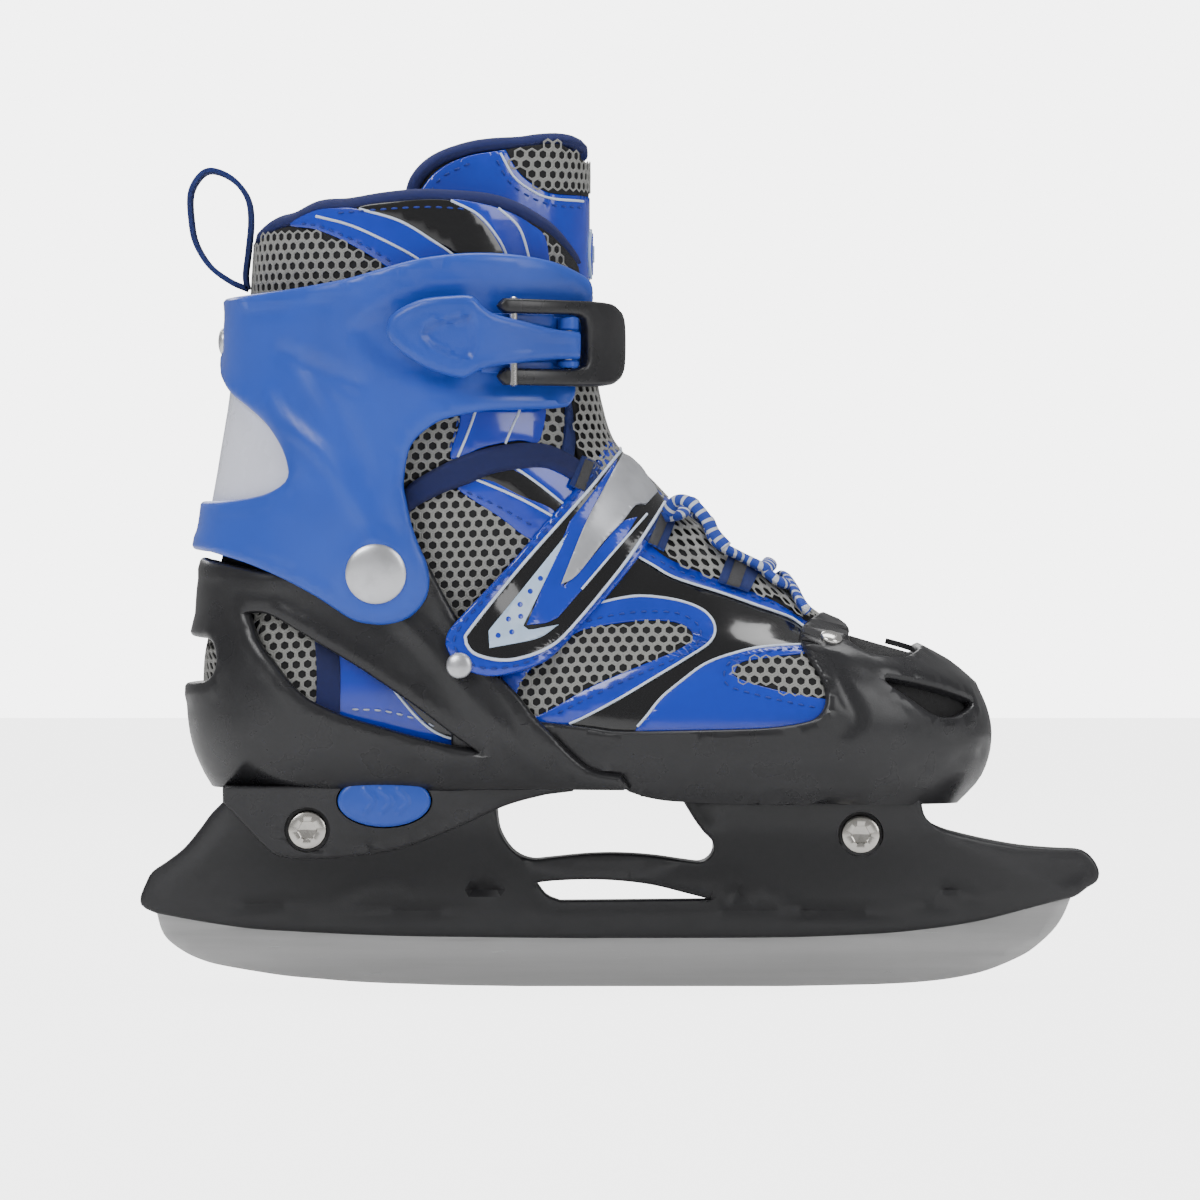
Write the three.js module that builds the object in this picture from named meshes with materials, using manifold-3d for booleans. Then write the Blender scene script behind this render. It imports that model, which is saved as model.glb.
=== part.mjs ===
// Size-adjustable child's ice skate, right foot, built in millimetres.
// +X points to the toe, +Z up, -Y to the outer side of the foot. The origin is on the ice, in the
// middle of the flat of the blade's running edge, and y = 0 is the plane of the blade.
import * as THREE from 'three';
import { mergeVertices } from 'three/addons/utils/BufferGeometryUtils.js';
import Module from 'manifold-3d';

const wasm = await Module();
wasm.setup();

// ---------------------------------------------------------------- driving dimensions
const SKATE_LENGTH = 287.3;      // blade holder, heel to toe
const SKATE_HEIGHT = 254.7;      // ice to the top of the tongue
const WIDTH_SCALE = 1.0;         // breadth of the boot form
const CLEARANCE = 0.35;          // between neighbouring pieces

const BLADE_THICKNESS = 3.0;

const SOLE_THICKNESS = 2.4;
const SLIDE_THICKNESS = 2.0;     // floor and tail of the sliding toe shell
const TOWER_TOP_GAP = 0.4;
const LINER_WALL = 6.0;
const LINER_FLOOR = 3.0;
const INSOLE_THICKNESS = 2.5;

const TOE_WALL = 2.6;
const HEEL_WALL = 2.4;
const CUFF_WALL = 2.6;
const STRAP_THICKNESS = 2.2;

const SIZE_TRAVEL = 20;          // three steps of the size adjustment
const SIZE_STEPS = 3;
const BUTTON_TRAVEL = 3;

const BOLT_SHANK = 2.8;
const BOLT_HEAD = 5.7;
const BOLT_HEAD_HEIGHT = 3.0;
const NUT_SLEEVE = 4.0;
const HEX_SOCKET = 2.6;
const PIVOT_PIN = 4.0;
const PIVOT_HEAD = 8.9;
const PIVOT_HEAD_HEIGHT = 2.2;
const RIVET_PIN = 1.8;
const RIVET_HEAD = 3.8;
const RIVET_HEIGHT = 1.3;

// layers outside the liner, measured square to the boot form
const TOE_IN = 0.5;
const TOE_OUT = TOE_IN + TOE_WALL;
const HEEL_IN = TOE_OUT + 0.4;
const HEEL_OUT = HEEL_IN + HEEL_WALL;
const CUFF_IN = HEEL_OUT + 0.7;
const CUFF_OUT = CUFF_IN + CUFF_WALL;
const STRAP_IN = 0.6;
const STRAP_RISE = 0.6;         // gap under the strap where it lies on the heel shell

// ---------------------------------------------------------------- boot form
const KX = SKATE_LENGTH / 287.3;
const KZ = SKATE_HEIGHT / 254.7;

// A smooth curve through stations [z, value], flat at both ends.
function stations(points) {
  return (z) => {
    if (z <= points[0][0]) return points[0][1];
    for (let i = 1; i < points.length; i++) {
      const [z0, v0] = points[i - 1];
      const [z1, v1] = points[i];
      if (z > z1) continue;
      const before = points[Math.max(i - 2, 0)];
      const after = points[Math.min(i + 1, points.length - 1)];
      const m0 = i > 1 ? (v1 - before[1]) / (z1 - before[0]) : 0;
      const m1 = i < points.length - 1 ? (after[1] - v0) / (after[0] - z0) : 0;
      const h = z1 - z0;
      const t = (z - z0) / h;
      const a = t * t * (3 - 2 * t);
      return v0 * (1 - a) + v1 * a + h * t * (1 - t) * (m0 * (1 - t) - m1 * t);
    }
    return points[points.length - 1][1];
  };
}

const backLine = stations([[56, -108], [61, -115], [66, -119], [74, -122.5], [84, -124], [98, -124],
  [110, -121.8], [120, -121], [128, -119.5], [140, -117], [160, -113.5], [180, -110.5], [204, -109.5],
  [238, -108]]);
const frontLine = stations([[56, 97], [61, 103], [66, 106.5], [74, 108.5], [82, 107.5], [89, 104],
  [94, 99], [98, 92.5], [101, 84], [103.5, 74.5], [106, 66], [109, 59.5], [113, 54], [119, 46],
  [126, 37], [134, 26], [142, 15], [150, 7], [157, -0.5], [163, -5], [172, -8], [184, -10.3],
  [200, -11], [238, -12]]);
const heelHalfWidth = stations([[56, 11], [61, 17], [66, 22.5], [74, 27.5], [84, 29.8], [98, 30],
  [112, 30], [126, 31.5], [142, 33], [160, 33.7], [180, 35], [205, 37], [238, 38]]);
const foreHalfWidth = stations([[56, 28], [61, 33], [67, 37], [76, 39.5], [86, 39.3], [96, 36.5],
  [106, 32], [116, 28], [130, 25], [146, 24.5], [160, 27], [176, 30.5], [190, 34], [205, 37],
  [238, 38]]);
const smooth = (a, b, x) => {
  const t = Math.min(1, Math.max(0, (x - a) / (b - a)));
  return t * t * (3 - 2 * t);
};
const roundEnd = (s) => Math.sqrt(1 - (1 - Math.min(1, Math.max(0, s))) ** 2);
const backRound = stations([[60, 34], [120, 40], [160, 48], [238, 50]]);
const frontRound = stations([[60, 58], [96, 56], [112, 44], [150, 42], [180, 50], [238, 50]]);

// Half-width of the boot at a station of the side view.
function halfWidth(x, z) {
  const across = smooth(-62, 18, x);
  const w = heelHalfWidth(z) * (1 - across) + foreHalfWidth(z) * across;
  const back = roundEnd((x - backLine(z)) / backRound(z));
  const front = roundEnd((frontLine(z) - x) / frontRound(z));
  return w * back * front * WIDTH_SCALE;
}
const centreLine = (x) => 2.5 * smooth(10, 100, x);

// A point of the form: turn 0 is the toe end, half a turn the heel, the outer side first.
function formPoint(turn, z) {
  const x0 = backLine(z);
  const x1 = frontLine(z);
  const x = x1 - (x1 - x0) * (1 - Math.cos(turn)) / 2;
  const side = Math.sin(turn) >= 0 ? -1 : 1;
  return new THREE.Vector3(x * KX, centreLine(x) + side * halfWidth(x, z), z * KZ);
}
function formOffset(turn, z, grow) {
  const p = formPoint(turn, z);
  if (grow === 0) return p;
  const along = formPoint(turn + 0.05, z).sub(formPoint(turn - 0.05, z));
  const up = formPoint(turn, z + 0.7).sub(formPoint(turn, z - 0.7));
  const normal = new THREE.Vector3().crossVectors(up, along).normalize();
  return p.addScaledVector(normal, typeof grow === 'function' ? grow(p) : grow);
}
const TURNS = 28;
const LEVELS = [56, 60, 64.5, 71, 79, 87, 94, 99.5, 103.5, 108, 114, 122, 132, 144, 157, 170, 188, 210,
  238];

// y of the outer side of the form, grown by a layer, at a station of the side view (mm).
function flank(x, z, grow) {
  const level = z / KZ;
  let low = 0;
  let high = Math.PI;
  for (let i = 0; i < 30; i++) {
    const middle = (low + high) / 2;
    if (formOffset(middle, level, grow).x > x) low = middle;
    else high = middle;
  }
  return formOffset((low + high) / 2, level, grow).y;
}

// The form's point and outward direction at a station of the outer (-1) or inner (1) side.
function formFrame(x, z, side) {
  const level = z / KZ;
  let low = 0;
  let high = Math.PI;
  for (let i = 0; i < 30; i++) {
    const middle = (low + high) / 2;
    if (formPoint(middle, level).x > x) low = middle;
    else high = middle;
  }
  const turn = side < 0 ? (low + high) / 2 : 2 * Math.PI - (low + high) / 2;
  const point = formPoint(turn, level);
  return { point, normal: formOffset(turn, level, 1).sub(point).normalize() };
}

// ---------------------------------------------------------------- solids
function solid(geometry) {
  const bare = geometry.index ? geometry : mergeVertices(geometry);
  bare.deleteAttribute('normal');
  bare.deleteAttribute('uv');
  const merged = mergeVertices(bare, 1e-5);
  return new wasm.Manifold(new wasm.Mesh({
    numProp: 3,
    vertProperties: new Float32Array(merged.attributes.position.array),
    triVerts: new Uint32Array(merged.index.array),
  }));
}

// Closed skin over rings of points, with a fan on each end.
function loft(rings) {
  const count = rings[0].length;
  const points = rings.flat();
  const faces = [];
  for (let j = 0; j + 1 < rings.length; j++) {
    for (let i = 0; i < count; i++) {
      const a = j * count + i;
      const b = j * count + (i + 1) % count;
      faces.push(a, b + count, b, a, a + count, b + count);
    }
  }
  for (const [ring, flip] of [[0, false], [rings.length - 1, true]]) {
    const middle = new THREE.Vector3();
    rings[ring].forEach((p) => middle.add(p));
    points.push(middle.divideScalar(count));
    for (let i = 0; i < count; i++) {
      const a = ring * count + i;
      const b = ring * count + (i + 1) % count;
      faces.push(...(flip ? [b, a, points.length - 1] : [a, b, points.length - 1]));
    }
  }
  const geometry = new THREE.BufferGeometry().setFromPoints(points);
  geometry.setIndex(faces);
  let result = solid(geometry);
  if (result.volume() < 0) {
    for (let i = 0; i < faces.length; i += 3) [faces[i], faces[i + 1]] = [faces[i + 1], faces[i]];
    geometry.setIndex(faces);
    result = solid(geometry);
  }
  return result;
}
function form(grow, levels = LEVELS) {
  return loft(levels.map((z) => Array.from({ length: TURNS },
    (_, i) => formOffset(2 * Math.PI * i / TURNS, z, grow))));
}
const layer = (inner, outer) => form(outer).subtract(form(inner));

// Outline from runs of points; a run of three or more is a smooth curve, and runs share corners.
function outline(runs, grid = (p) => p) {
  const points = [];
  for (const run of runs) {
    const knots = run.map(([a, b]) => new THREE.Vector2(...grid([a, b])));
    const steps = run.length > 2 ? new THREE.SplineCurve(knots).getPoints((run.length - 1) * 2) : knots;
    points.push(...steps.slice(0, -1));
  }
  return new THREE.Shape(points);
}
const station = ([x, z]) => [x * KX, z * KZ];

// Prism over a side-view outline (stations), between two y.
function sidePrism(runs, y0 = -80, y1 = 80, grid = station) {
  const geometry = new THREE.ExtrudeGeometry(outline(runs, grid), { depth: y1 - y0, bevelEnabled: false });
  geometry.rotateX(Math.PI / 2);
  geometry.translate(0, y1, 0);
  return solid(geometry);
}
function planPrism(runs, z0, z1, grid = ([x, y]) => [x * KX, y]) {
  const geometry = new THREE.ExtrudeGeometry(outline(runs, grid), { depth: z1 - z0, bevelEnabled: false });
  geometry.translate(0, 0, z0);
  return solid(geometry);
}
function frontPrism(runs, x0, x1) {
  const geometry = new THREE.ExtrudeGeometry(outline(runs, ([y, z]) => [y, z * KZ]),
    { depth: x1 - x0, bevelEnabled: false });
  geometry.rotateX(Math.PI / 2);
  geometry.rotateZ(Math.PI / 2);
  geometry.translate(x0, 0, 0);
  return solid(geometry);
}
function box(x0, x1, y0, y1, z0, z1) {
  const geometry = new THREE.BoxGeometry(x1 - x0, y1 - y0, z1 - z0);
  geometry.translate((x0 + x1) / 2, (y0 + y1) / 2, (z0 + z1) / 2);
  return solid(geometry);
}
// Cylinder along Y, from y0 to y1.
function crossPin(x, z, radius, y0, y1, sides = 20) {
  const geometry = new THREE.CylinderGeometry(radius, radius, y1 - y0, sides);
  geometry.translate(x, (y0 + y1) / 2, z);
  return solid(geometry);
}
function uprightPin(x, y, radius, z0, z1, sides = 20) {
  const geometry = new THREE.CylinderGeometry(radius, radius, z1 - z0, sides);
  geometry.rotateX(Math.PI / 2);
  geometry.translate(x, y, (z0 + z1) / 2);
  return solid(geometry);
}
function ovalPrism(x, z, halfLength, halfHeight, y0, y1) {
  const oval = new THREE.EllipseCurve(x, z, halfLength, halfHeight).getPoints(28).slice(0, -1);
  return sidePrism([...oval.map((p, i) => [[p.x, p.y], [oval[(i + 1) % 28].x, oval[(i + 1) % 28].y]])],
    y0, y1, (p) => p);
}
function union(...solids) {
  return solids.reduce((whole, piece) => whole.add(piece));
}
// One body of the largest volume, so no crumbs are left by a cut.
function largest(body) {
  return body.decompose().reduce((best, piece) => (piece.volume() > best.volume() ? piece : best));
}

const group = new THREE.Group();
function add(name, body, color, roughness, metalness) {
  const { vertProperties, triVerts } = body.getMesh();
  const geometry = new THREE.BufferGeometry();
  geometry.setAttribute('position', new THREE.BufferAttribute(new Float32Array(vertProperties), 3));
  geometry.setIndex(new THREE.BufferAttribute(new Uint32Array(triVerts), 1));
  const mesh = new THREE.Mesh(geometry, new THREE.MeshStandardMaterial({ color, roughness, metalness }));
  mesh.name = name;
  group.add(mesh);
}
const steel = [0x9a9a9c, 0.35, 1.0];
const boltSteel = [0xa8a6a2, 0.3, 1.0];
const blackPlastic = [0x202126, 0.45, 0.0];
const bluePlastic = [0x2a5cc8, 0.4, 0.0];
const whitePlastic = [0xe4e5f0, 0.35, 0.0];
const foam = [0x1c3fb0, 0.6, 0.0];
const webbing = [0x2746a8, 0.85, 0.0];
const rivetSteel = [0xc8c8cc, 0.3, 1.0];

// Pin square to the boot form, between two heights above it.
function squarePin(at, side, radius, from, to, sides = 12) {
  const { point, normal } = formFrame(at.x, at.z, side);
  const geometry = new THREE.CylinderGeometry(radius, radius, to - from, sides);
  geometry.applyQuaternion(new THREE.Quaternion().setFromUnitVectors(new THREE.Vector3(0, 1, 0), normal));
  const middle = point.addScaledVector(normal, (from + to) / 2);
  geometry.translate(middle.x, middle.y, middle.z);
  return solid(geometry);
}
const rivetHole = (at, side, pin = RIVET_PIN) => squarePin(at, side, pin + CLEARANCE, -3, 22, 8);
// A rivet's head lies on the top layer, and its flat end under the lowest.
function rivet(name, at, side, under, over, head, pin = RIVET_PIN, height = RIVET_HEIGHT) {
  add(name, union(
    squarePin(at, side, head, over + CLEARANCE, over + CLEARANCE + height),
    squarePin(at, side, pin, under - CLEARANCE - height / 2, over + CLEARANCE + height / 2, 8),
    squarePin(at, side, head * 0.75, under - CLEARANCE - height, under - CLEARANCE, 8),
  ), ...rivetSteel);
}

// ---------------------------------------------------------------- levels and places
const soleTop = 62.4 * KZ;
const soleUnder = soleTop - SOLE_THICKNESS;
const slideTop = soleUnder - CLEARANCE;
const slideUnder = slideTop - SLIDE_THICKNESS;
const towerTop = slideUnder - TOWER_TOP_GAP;
const linerUnder = soleTop + CLEARANCE;
const linerFloor = linerUnder + LINER_FLOOR;
const toeBottom = 55 * KZ;

const pivot = { x: -72 * KX, z: 123.5 * KZ };
const rearBolt = { x: -93 * KX, z: 47.5 * KZ };
const frontBolt = { x: 71.7 * KX, z: 46 * KZ };
const button = { x: -70 * KX, z: 56.2 * KZ, halfLength: 13.4, halfHeight: 7.3, face: -26.2, depth: 4.4 };
const springFloor = button.face + button.depth + BUTTON_TRAVEL + 2.5;
const pocketFloor = springFloor + 0.8;
const strapRivet = { x: -47.5 * KX, z: 96.5 * KZ };
const toeRivet = { x: 61.5 * KX, z: 104 * KZ };

const everything = (z0, z1, x0 = -300, x1 = 300) => box(x0, x1, -80, 80, z0, z1);
const outer = (body) => body.intersect(box(-300, 300, -90, 0, -20, 400));
const inner = (body) => body.intersect(box(-300, 300, 0, 90, -20, 400));

// ---------------------------------------------------------------- blade and holder
function bladeOutline(grow) {
  return [
    [[-139 - grow, 26 + grow], [-139 - grow, 21.5], [-135, 13.5], [-125, 7.8], [-110, 4.6], [-90, 2.2],
      [-62, 0.6], [-35, 0]],
    [[-35, 0], [55, 0]],
    [[55, 0], [80, 0.7], [100, 2.5], [112, 5.6], [125, 12.3], [133, 21.5], [135.5 + grow, 26.5]],
    [[135.5 + grow, 26.5], [135.5 + grow, 30 + grow]],
    [[135.5 + grow, 30 + grow], [120, 26.4 + grow], [95, 21.6 + grow], [60, 19 + grow], [0, 18.5 + grow],
      [-60, 19 + grow], [-100, 20.6 + grow], [-139 - grow, 26 + grow]],
  ];
}
const bladeHalf = BLADE_THICKNESS / 2;
add('blade', sidePrism(bladeOutline(0), -bladeHalf, bladeHalf), ...steel);

const holderSide = [
  [[-118, 64], [-118, 56]],
  [[-118, 56], [-125, 48], [-133, 39.5], [-140, 34.5], [-143.2, 29], [-143.7, 25], [-139, 22]],
  [[-139, 22], [-120, 18.6], [-90, 16], [-40, 14.7], [20, 14.5], [70, 15.4], [100, 18.3], [125, 24.2],
    [140, 29.5]],
  [[140, 29.5], [143.6, 34], [140, 40], [122, 42.2], [102, 45.8], [91.5, 51], [89.5, 57]],
  [[89.5, 57], [89.5, 64]],
  [[89.5, 64], [18, 64]],
  [[18, 64], [18, 56.5], [22, 50.5], [27.5, 44], [26.5, 38.8], [20, 37.8]],
  [[20, 37.8], [0, 40], [-24, 38.4]],
  [[-24, 38.4], [-30, 39.5], [-35.5, 46], [-37, 54], [-37, 64]],
  [[-37, 64], [-118, 64]],
];
const towerWidths = [[13, 3.4], [20, 4.2], [27, 5.6], [34, 8.4], [41, 12.6], [47, 16.2], [53, 18], [66, 18]];
function widthProfile(widths, grow = 0) {
  const right = widths.map(([z, w]) => [w + grow, z]);
  const left = widths.map(([z, w]) => [-w - grow, z]).reverse();
  const ring = [...right, ...left];
  return ring.map((p, i) => [p, ring[(i + 1) % ring.length]]);
}
const holderPlan = [
  [[-146, -4.5], [-130, -9], [-112, -19], [-40, -19], [-26, -8], [14, -8], [34, -19], [84, -19],
    [104, -13], [124, -7], [146, -4.5]],
  [[146, -4.5], [146, 4.5]],
  [[146, 4.5], [124, 7], [104, 13], [84, 19], [34, 19], [14, 8], [-26, 8], [-40, 19], [-112, 19],
    [-130, 9], [-146, 4.5]],
  [[-146, 4.5], [-146, -4.5]],
];
const railSlot = [
  [[-25, 31], [-10, 32.2], [8, 30.8], [27, 26.2]],
  [[27, 26.2], [-18, 25.7]],
  [[-18, 25.7], [-23, 27.5], [-25, 31]],
];
const lug = { x0: 55 * KX, x1: 88 * KX, half: 8, z0: 40 * KZ };
const buttonPocket = (depth) => ovalPrism(button.x, button.z, button.halfLength + CLEARANCE,
  button.halfHeight + CLEARANCE, -60, depth);
const holder = sidePrism(holderSide, -22, 22)
  .intersect(frontPrism(widthProfile(towerWidths), -200 * KX, 200 * KX))
  .intersect(planPrism(holderPlan, 0, 80 * KZ))
  .intersect(everything(0, towerTop))
  .subtract(sidePrism(bladeOutline(CLEARANCE), -bladeHalf - CLEARANCE, bladeHalf + CLEARANCE))
  .subtract(sidePrism(railSlot))
  .subtract(box(lug.x0 - CLEARANCE, lug.x1 + CLEARANCE, -lug.half - CLEARANCE, lug.half + CLEARANCE,
    lug.z0 - CLEARANCE, 80 * KZ))
  .subtract(buttonPocket(pocketFloor))
  .subtract(crossPin(rearBolt.x, rearBolt.z, NUT_SLEEVE + CLEARANCE, -40, 40))
  .subtract(crossPin(frontBolt.x, frontBolt.z, NUT_SLEEVE + CLEARANCE, -40, 40))
  .subtract(crossPin(frontBolt.x, frontBolt.z, BOLT_HEAD + CLEARANCE, -40, -13))
  .subtract(crossPin(frontBolt.x, frontBolt.z, BOLT_HEAD + CLEARANCE, 13, 40));
add('blade_holder', largest(holder), ...blackPlastic);

// A cross bolt with a hex socket, and the sleeve nut it screws into from the other side.
function crossBolt(name, at, half) {
  const socket = crossPin(at.x, at.z, HEX_SOCKET, -half - BOLT_HEAD_HEIGHT - 1, -half - 0.8, 6);
  const bolt = union(
    crossPin(at.x, at.z, BOLT_HEAD, -half - BOLT_HEAD_HEIGHT, -half),
    crossPin(at.x, at.z, BOLT_SHANK, -half - 1, half * 0.5),
  ).subtract(socket);
  add(`${name}_bolt`, bolt, ...boltSteel);
  const nut = union(
    crossPin(at.x, at.z, BOLT_HEAD, half, half + BOLT_HEAD_HEIGHT),
    crossPin(at.x, at.z, NUT_SLEEVE, -half * 0.3, half + 1),
  ).subtract(crossPin(at.x, at.z, BOLT_SHANK + CLEARANCE, -half, half * 0.7))
    .subtract(crossPin(at.x, at.z, HEX_SOCKET, half + 0.8, half + BOLT_HEAD_HEIGHT + 1, 6));
  add(`${name}_nut`, nut, ...boltSteel);
}
crossBolt('front', frontBolt, 13.4);
crossBolt('rear', rearBolt, 19.2);

// ---------------------------------------------------------------- heel shell and sole plate
const heelSide = [
  [[-140, 57.6], [-140, 128.5]],
  [[-140, 128.5], [-124.5, 128.5]],
  [[-124.5, 128.5], [-114, 126.4], [-102, 124]],
  [[-102, 124], [-92, 130], [-82, 136.5], [-71, 138.5], [-61, 134], [-57, 127]],
  [[-57, 127], [-50, 113.5], [-36, 94], [-24, 80], [-10, 66.5], [0, 63.8]],
  [[0, 63.8], [3, 57.6]],
  [[3, 57.6], [-140, 57.6]],
];
const heelWindow = [
  [[-109, 112.5], [-95, 106.5], [-80, 97.5], [-60, 84], [-42, 71]],
  [[-42, 71], [-58, 74.5], [-72, 78.5], [-85, 83], [-94, 88.5], [-102, 97], [-109, 112.5]],
];
const heelNotch = [
  [[-140, 105.5], [-122.5, 105.5], [-119.2, 97], [-124, 91], [-140, 90.5]],
  [[-140, 90.5], [-140, 105.5]],
];
const skirtSide = [
  [[-118, 66], [-118, 56]],
  [[-118, 56], [-105, 42], [-92, 38.7], [-78, 39.7], [-62, 42.8], [-50, 47.5], [-37, 53.5], [-22, 57.6]],
  [[-22, 57.6], [-14, 57.6]],
  [[-14, 57.6], [-14, 66]],
  [[-14, 66], [-118, 66]],
];
const skirtWidths = [[36, 19.4], [42, 20.6], [48, 22.3], [55, 24.2], [62.4, 26], [70, 26]];
const tailHalf = 15;
const towerHalf = 18.4;
const ankleHole = crossPin(pivot.x, pivot.z, PIVOT_PIN + CLEARANCE, -80, 80);
const strapRivetHole = rivetHole(strapRivet, -1).add(rivetHole(strapRivet, 1));

// The room that the holder's tower and the plate sliding over it take under the shell.
const towerRoom = frontPrism(widthProfile(towerWidths, CLEARANCE), -200 * KX, -36.5 * KX)
  .intersect(everything(0, slideUnder));
const heelWalls = layer(HEEL_IN, HEEL_OUT)
  .intersect(sidePrism(heelSide))
  .subtract(towerRoom)
  .subtract(sidePrism(heelWindow))
  .subtract(sidePrism(heelNotch))
  .subtract(ankleHole)
  .subtract(strapRivetHole);
const heelFloor = form(HEEL_OUT).intersect(everything(soleUnder, soleTop, -300, 1 * KX));
// What stands inside the sliding toe shell keeps to the width that the shell brings over it.
const slidPast = (grow, x) => form(grow).translate([SIZE_TRAVEL, 0, 0]).add(everything(0, 300 * KZ, -300, x));
const solePlate = form(0).intersect(everything(soleUnder, soleTop, -300, lug.x1))
  .intersect(slidPast(TOE_IN - CLEARANCE, 3 * KX));
const skirt = sidePrism(skirtSide)
  .intersect(frontPrism(widthProfile(skirtWidths), -200 * KX, 0))
  .intersect(everything(0, soleTop))
  .subtract(towerRoom);
const tailEnd = button.x - SIZE_TRAVEL - 8;
const tailChannel = box(tailEnd, 20, -tailHalf - CLEARANCE, tailHalf + CLEARANCE,
  slideUnder - CLEARANCE, soleUnder + 0.01);
const heelShell = union(heelWalls, heelFloor, solePlate, skirt,
  box(lug.x0, lug.x1, -lug.half, lug.half, lug.z0, soleTop))
  .subtract(tailChannel)
  .subtract(buttonPocket(pocketFloor))
  .subtract(box(button.x - 3, button.x + 3, -22, -2.2, slideTop, soleTop + 1))
  .subtract(crossPin(rearBolt.x, rearBolt.z, NUT_SLEEVE + CLEARANCE, -40, 40))
  .subtract(crossPin(rearBolt.x, rearBolt.z, BOLT_HEAD + CLEARANCE, -40, -18.6))
  .subtract(crossPin(rearBolt.x, rearBolt.z, BOLT_HEAD + CLEARANCE, 18.6, 40))
  .subtract(crossPin(frontBolt.x, frontBolt.z, NUT_SLEEVE + CLEARANCE, -40, 40));
add('heel_shell', largest(heelShell), ...blackPlastic);

// ---------------------------------------------------------------- toe shell, with the rack on its tail
const toeSide = [
  [[-50, 63.2], [-50, 80]],
  [[-50, 80], [-25, 80]],
  [[-25, 80], [0, 77.6], [30, 77.6], [52, 79.4], [60, 84], [59.5, 92], [54.5, 101], [55, 108], [62, 113]],
  [[62, 113], [140, 113]],
  [[140, 113], [140, 50]],
  [[140, 50], [5, 50]],
  [[5, 50], [5, 63.2]],
  [[5, 63.2], [-50, 63.2]],
];
const toeVent = [
  [[78, 92], [90, 90], [104.5, 85]],
  [[104.5, 85], [101, 82], [96, 81], [88, 84.5], [78, 92]],
];
const rackPitch = SIZE_TRAVEL / SIZE_STEPS;
const rack = { x0: button.x - SIZE_TRAVEL - 4, x1: button.x + 4, y0: -12.2, y1: -2.2, tooth: 2 };
let toeTail = box(tailEnd, 12 * KX, -tailHalf, tailHalf, slideUnder, slideTop)
  .subtract(box(rack.x0, rack.x1, rack.y0, rack.y1, slideUnder - 1, slideTop + 1));
for (let step = 0; step < SIZE_STEPS; step++) {
  const x = button.x - rackPitch * (step + 0.5);
  toeTail = toeTail.add(box(x - 1.4, x + 1.4, rack.y0 - 0.5, rack.y0 + rack.tooth, slideUnder, slideTop));
}
const toeShell = form(TOE_OUT).intersect(everything(toeBottom, 200 * KZ))
  .subtract(form(TOE_IN).intersect(everything(slideTop, 300 * KZ)))
  .subtract(form(-1).intersect(everything(0, slideUnder)))
  .subtract(box(15 * KX - SIZE_TRAVEL, 90.2 * KX, -towerHalf, towerHalf, 0, slideUnder))
  .intersect(sidePrism(toeSide))
  .subtract(sidePrism(toeVent))
  .subtract(rivetHole(toeRivet, -1, 2.4))
  .subtract(rivetHole(toeRivet, 1, 2.4))
  .add(toeTail)
  .subtract(box(lug.x0 - SIZE_TRAVEL - CLEARANCE, lug.x1 + CLEARANCE, -lug.half - CLEARANCE,
    lug.half + CLEARANCE, slideUnder - 1, slideTop + 1));
add('toe_shell', largest(toeShell), ...blackPlastic);

rivet('toe_rivet_outer', toeRivet, -1, TOE_IN + 1.6, TOE_OUT, 2.4, 1.3);
rivet('toe_rivet_inner', toeRivet, 1, TOE_IN + 1.6, TOE_OUT, 2.4, 1.3);

// ---------------------------------------------------------------- liner, in pieces that clear the cuff's lean
// Side-view regions about the cuff's pivot: what leans with the cuff lies above, the rest below.
const SHAFT_REACH = 53;          // radius of the heel part of the liner about the pivot
const INSTEP_REACH = 84.8;       // radius of the instep part
function arc(radius, from, to) {
  const curve = new THREE.EllipseCurve(pivot.x, pivot.z, radius * KX, radius * KZ,
    from * Math.PI / 180, to * Math.PI / 180, to < from);
  return curve.getPoints(10).map((p) => [p.x, p.y]);
}
const ray = (angle, radius) => arc(radius, angle, angle + 1)[0];
const inPlace = (p) => p;
const ankleRegion = sidePrism([
  [[-200 * KX, 0], [250 * KX, 0]],
  [[250 * KX, 0], ray(30, 330)],
  [ray(30, 330), ray(30, INSTEP_REACH)],
  arc(INSTEP_REACH, 30, 40),
  [ray(40, INSTEP_REACH), ray(40, SHAFT_REACH)],
  arc(SHAFT_REACH, 40, 180),
  [ray(180, SHAFT_REACH), [-200 * KX, pivot.z]],
  [[-200 * KX, pivot.z], [-200 * KX, 0]],
], -80, 80, inPlace);
const shaftRegion = sidePrism([
  [ray(43, 330), [ray(43, 330)[0], 400 * KZ]],
  [[ray(43, 330)[0], 400 * KZ], [-220 * KX, 400 * KZ]],
  [[-220 * KX, 400 * KZ], [-220 * KX, pivot.z + 2]],
  [[-220 * KX, pivot.z + 2], ray(178, SHAFT_REACH + 0.8)],
  arc(SHAFT_REACH + 0.8, 178, 53),
  [ray(53, SHAFT_REACH + 0.8), ray(53, INSTEP_REACH + 0.8)],
  arc(INSTEP_REACH + 0.8, 53, 43),
  [ray(43, INSTEP_REACH + 0.8), ray(43, 330)],
], -80, 80, inPlace);

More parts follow.
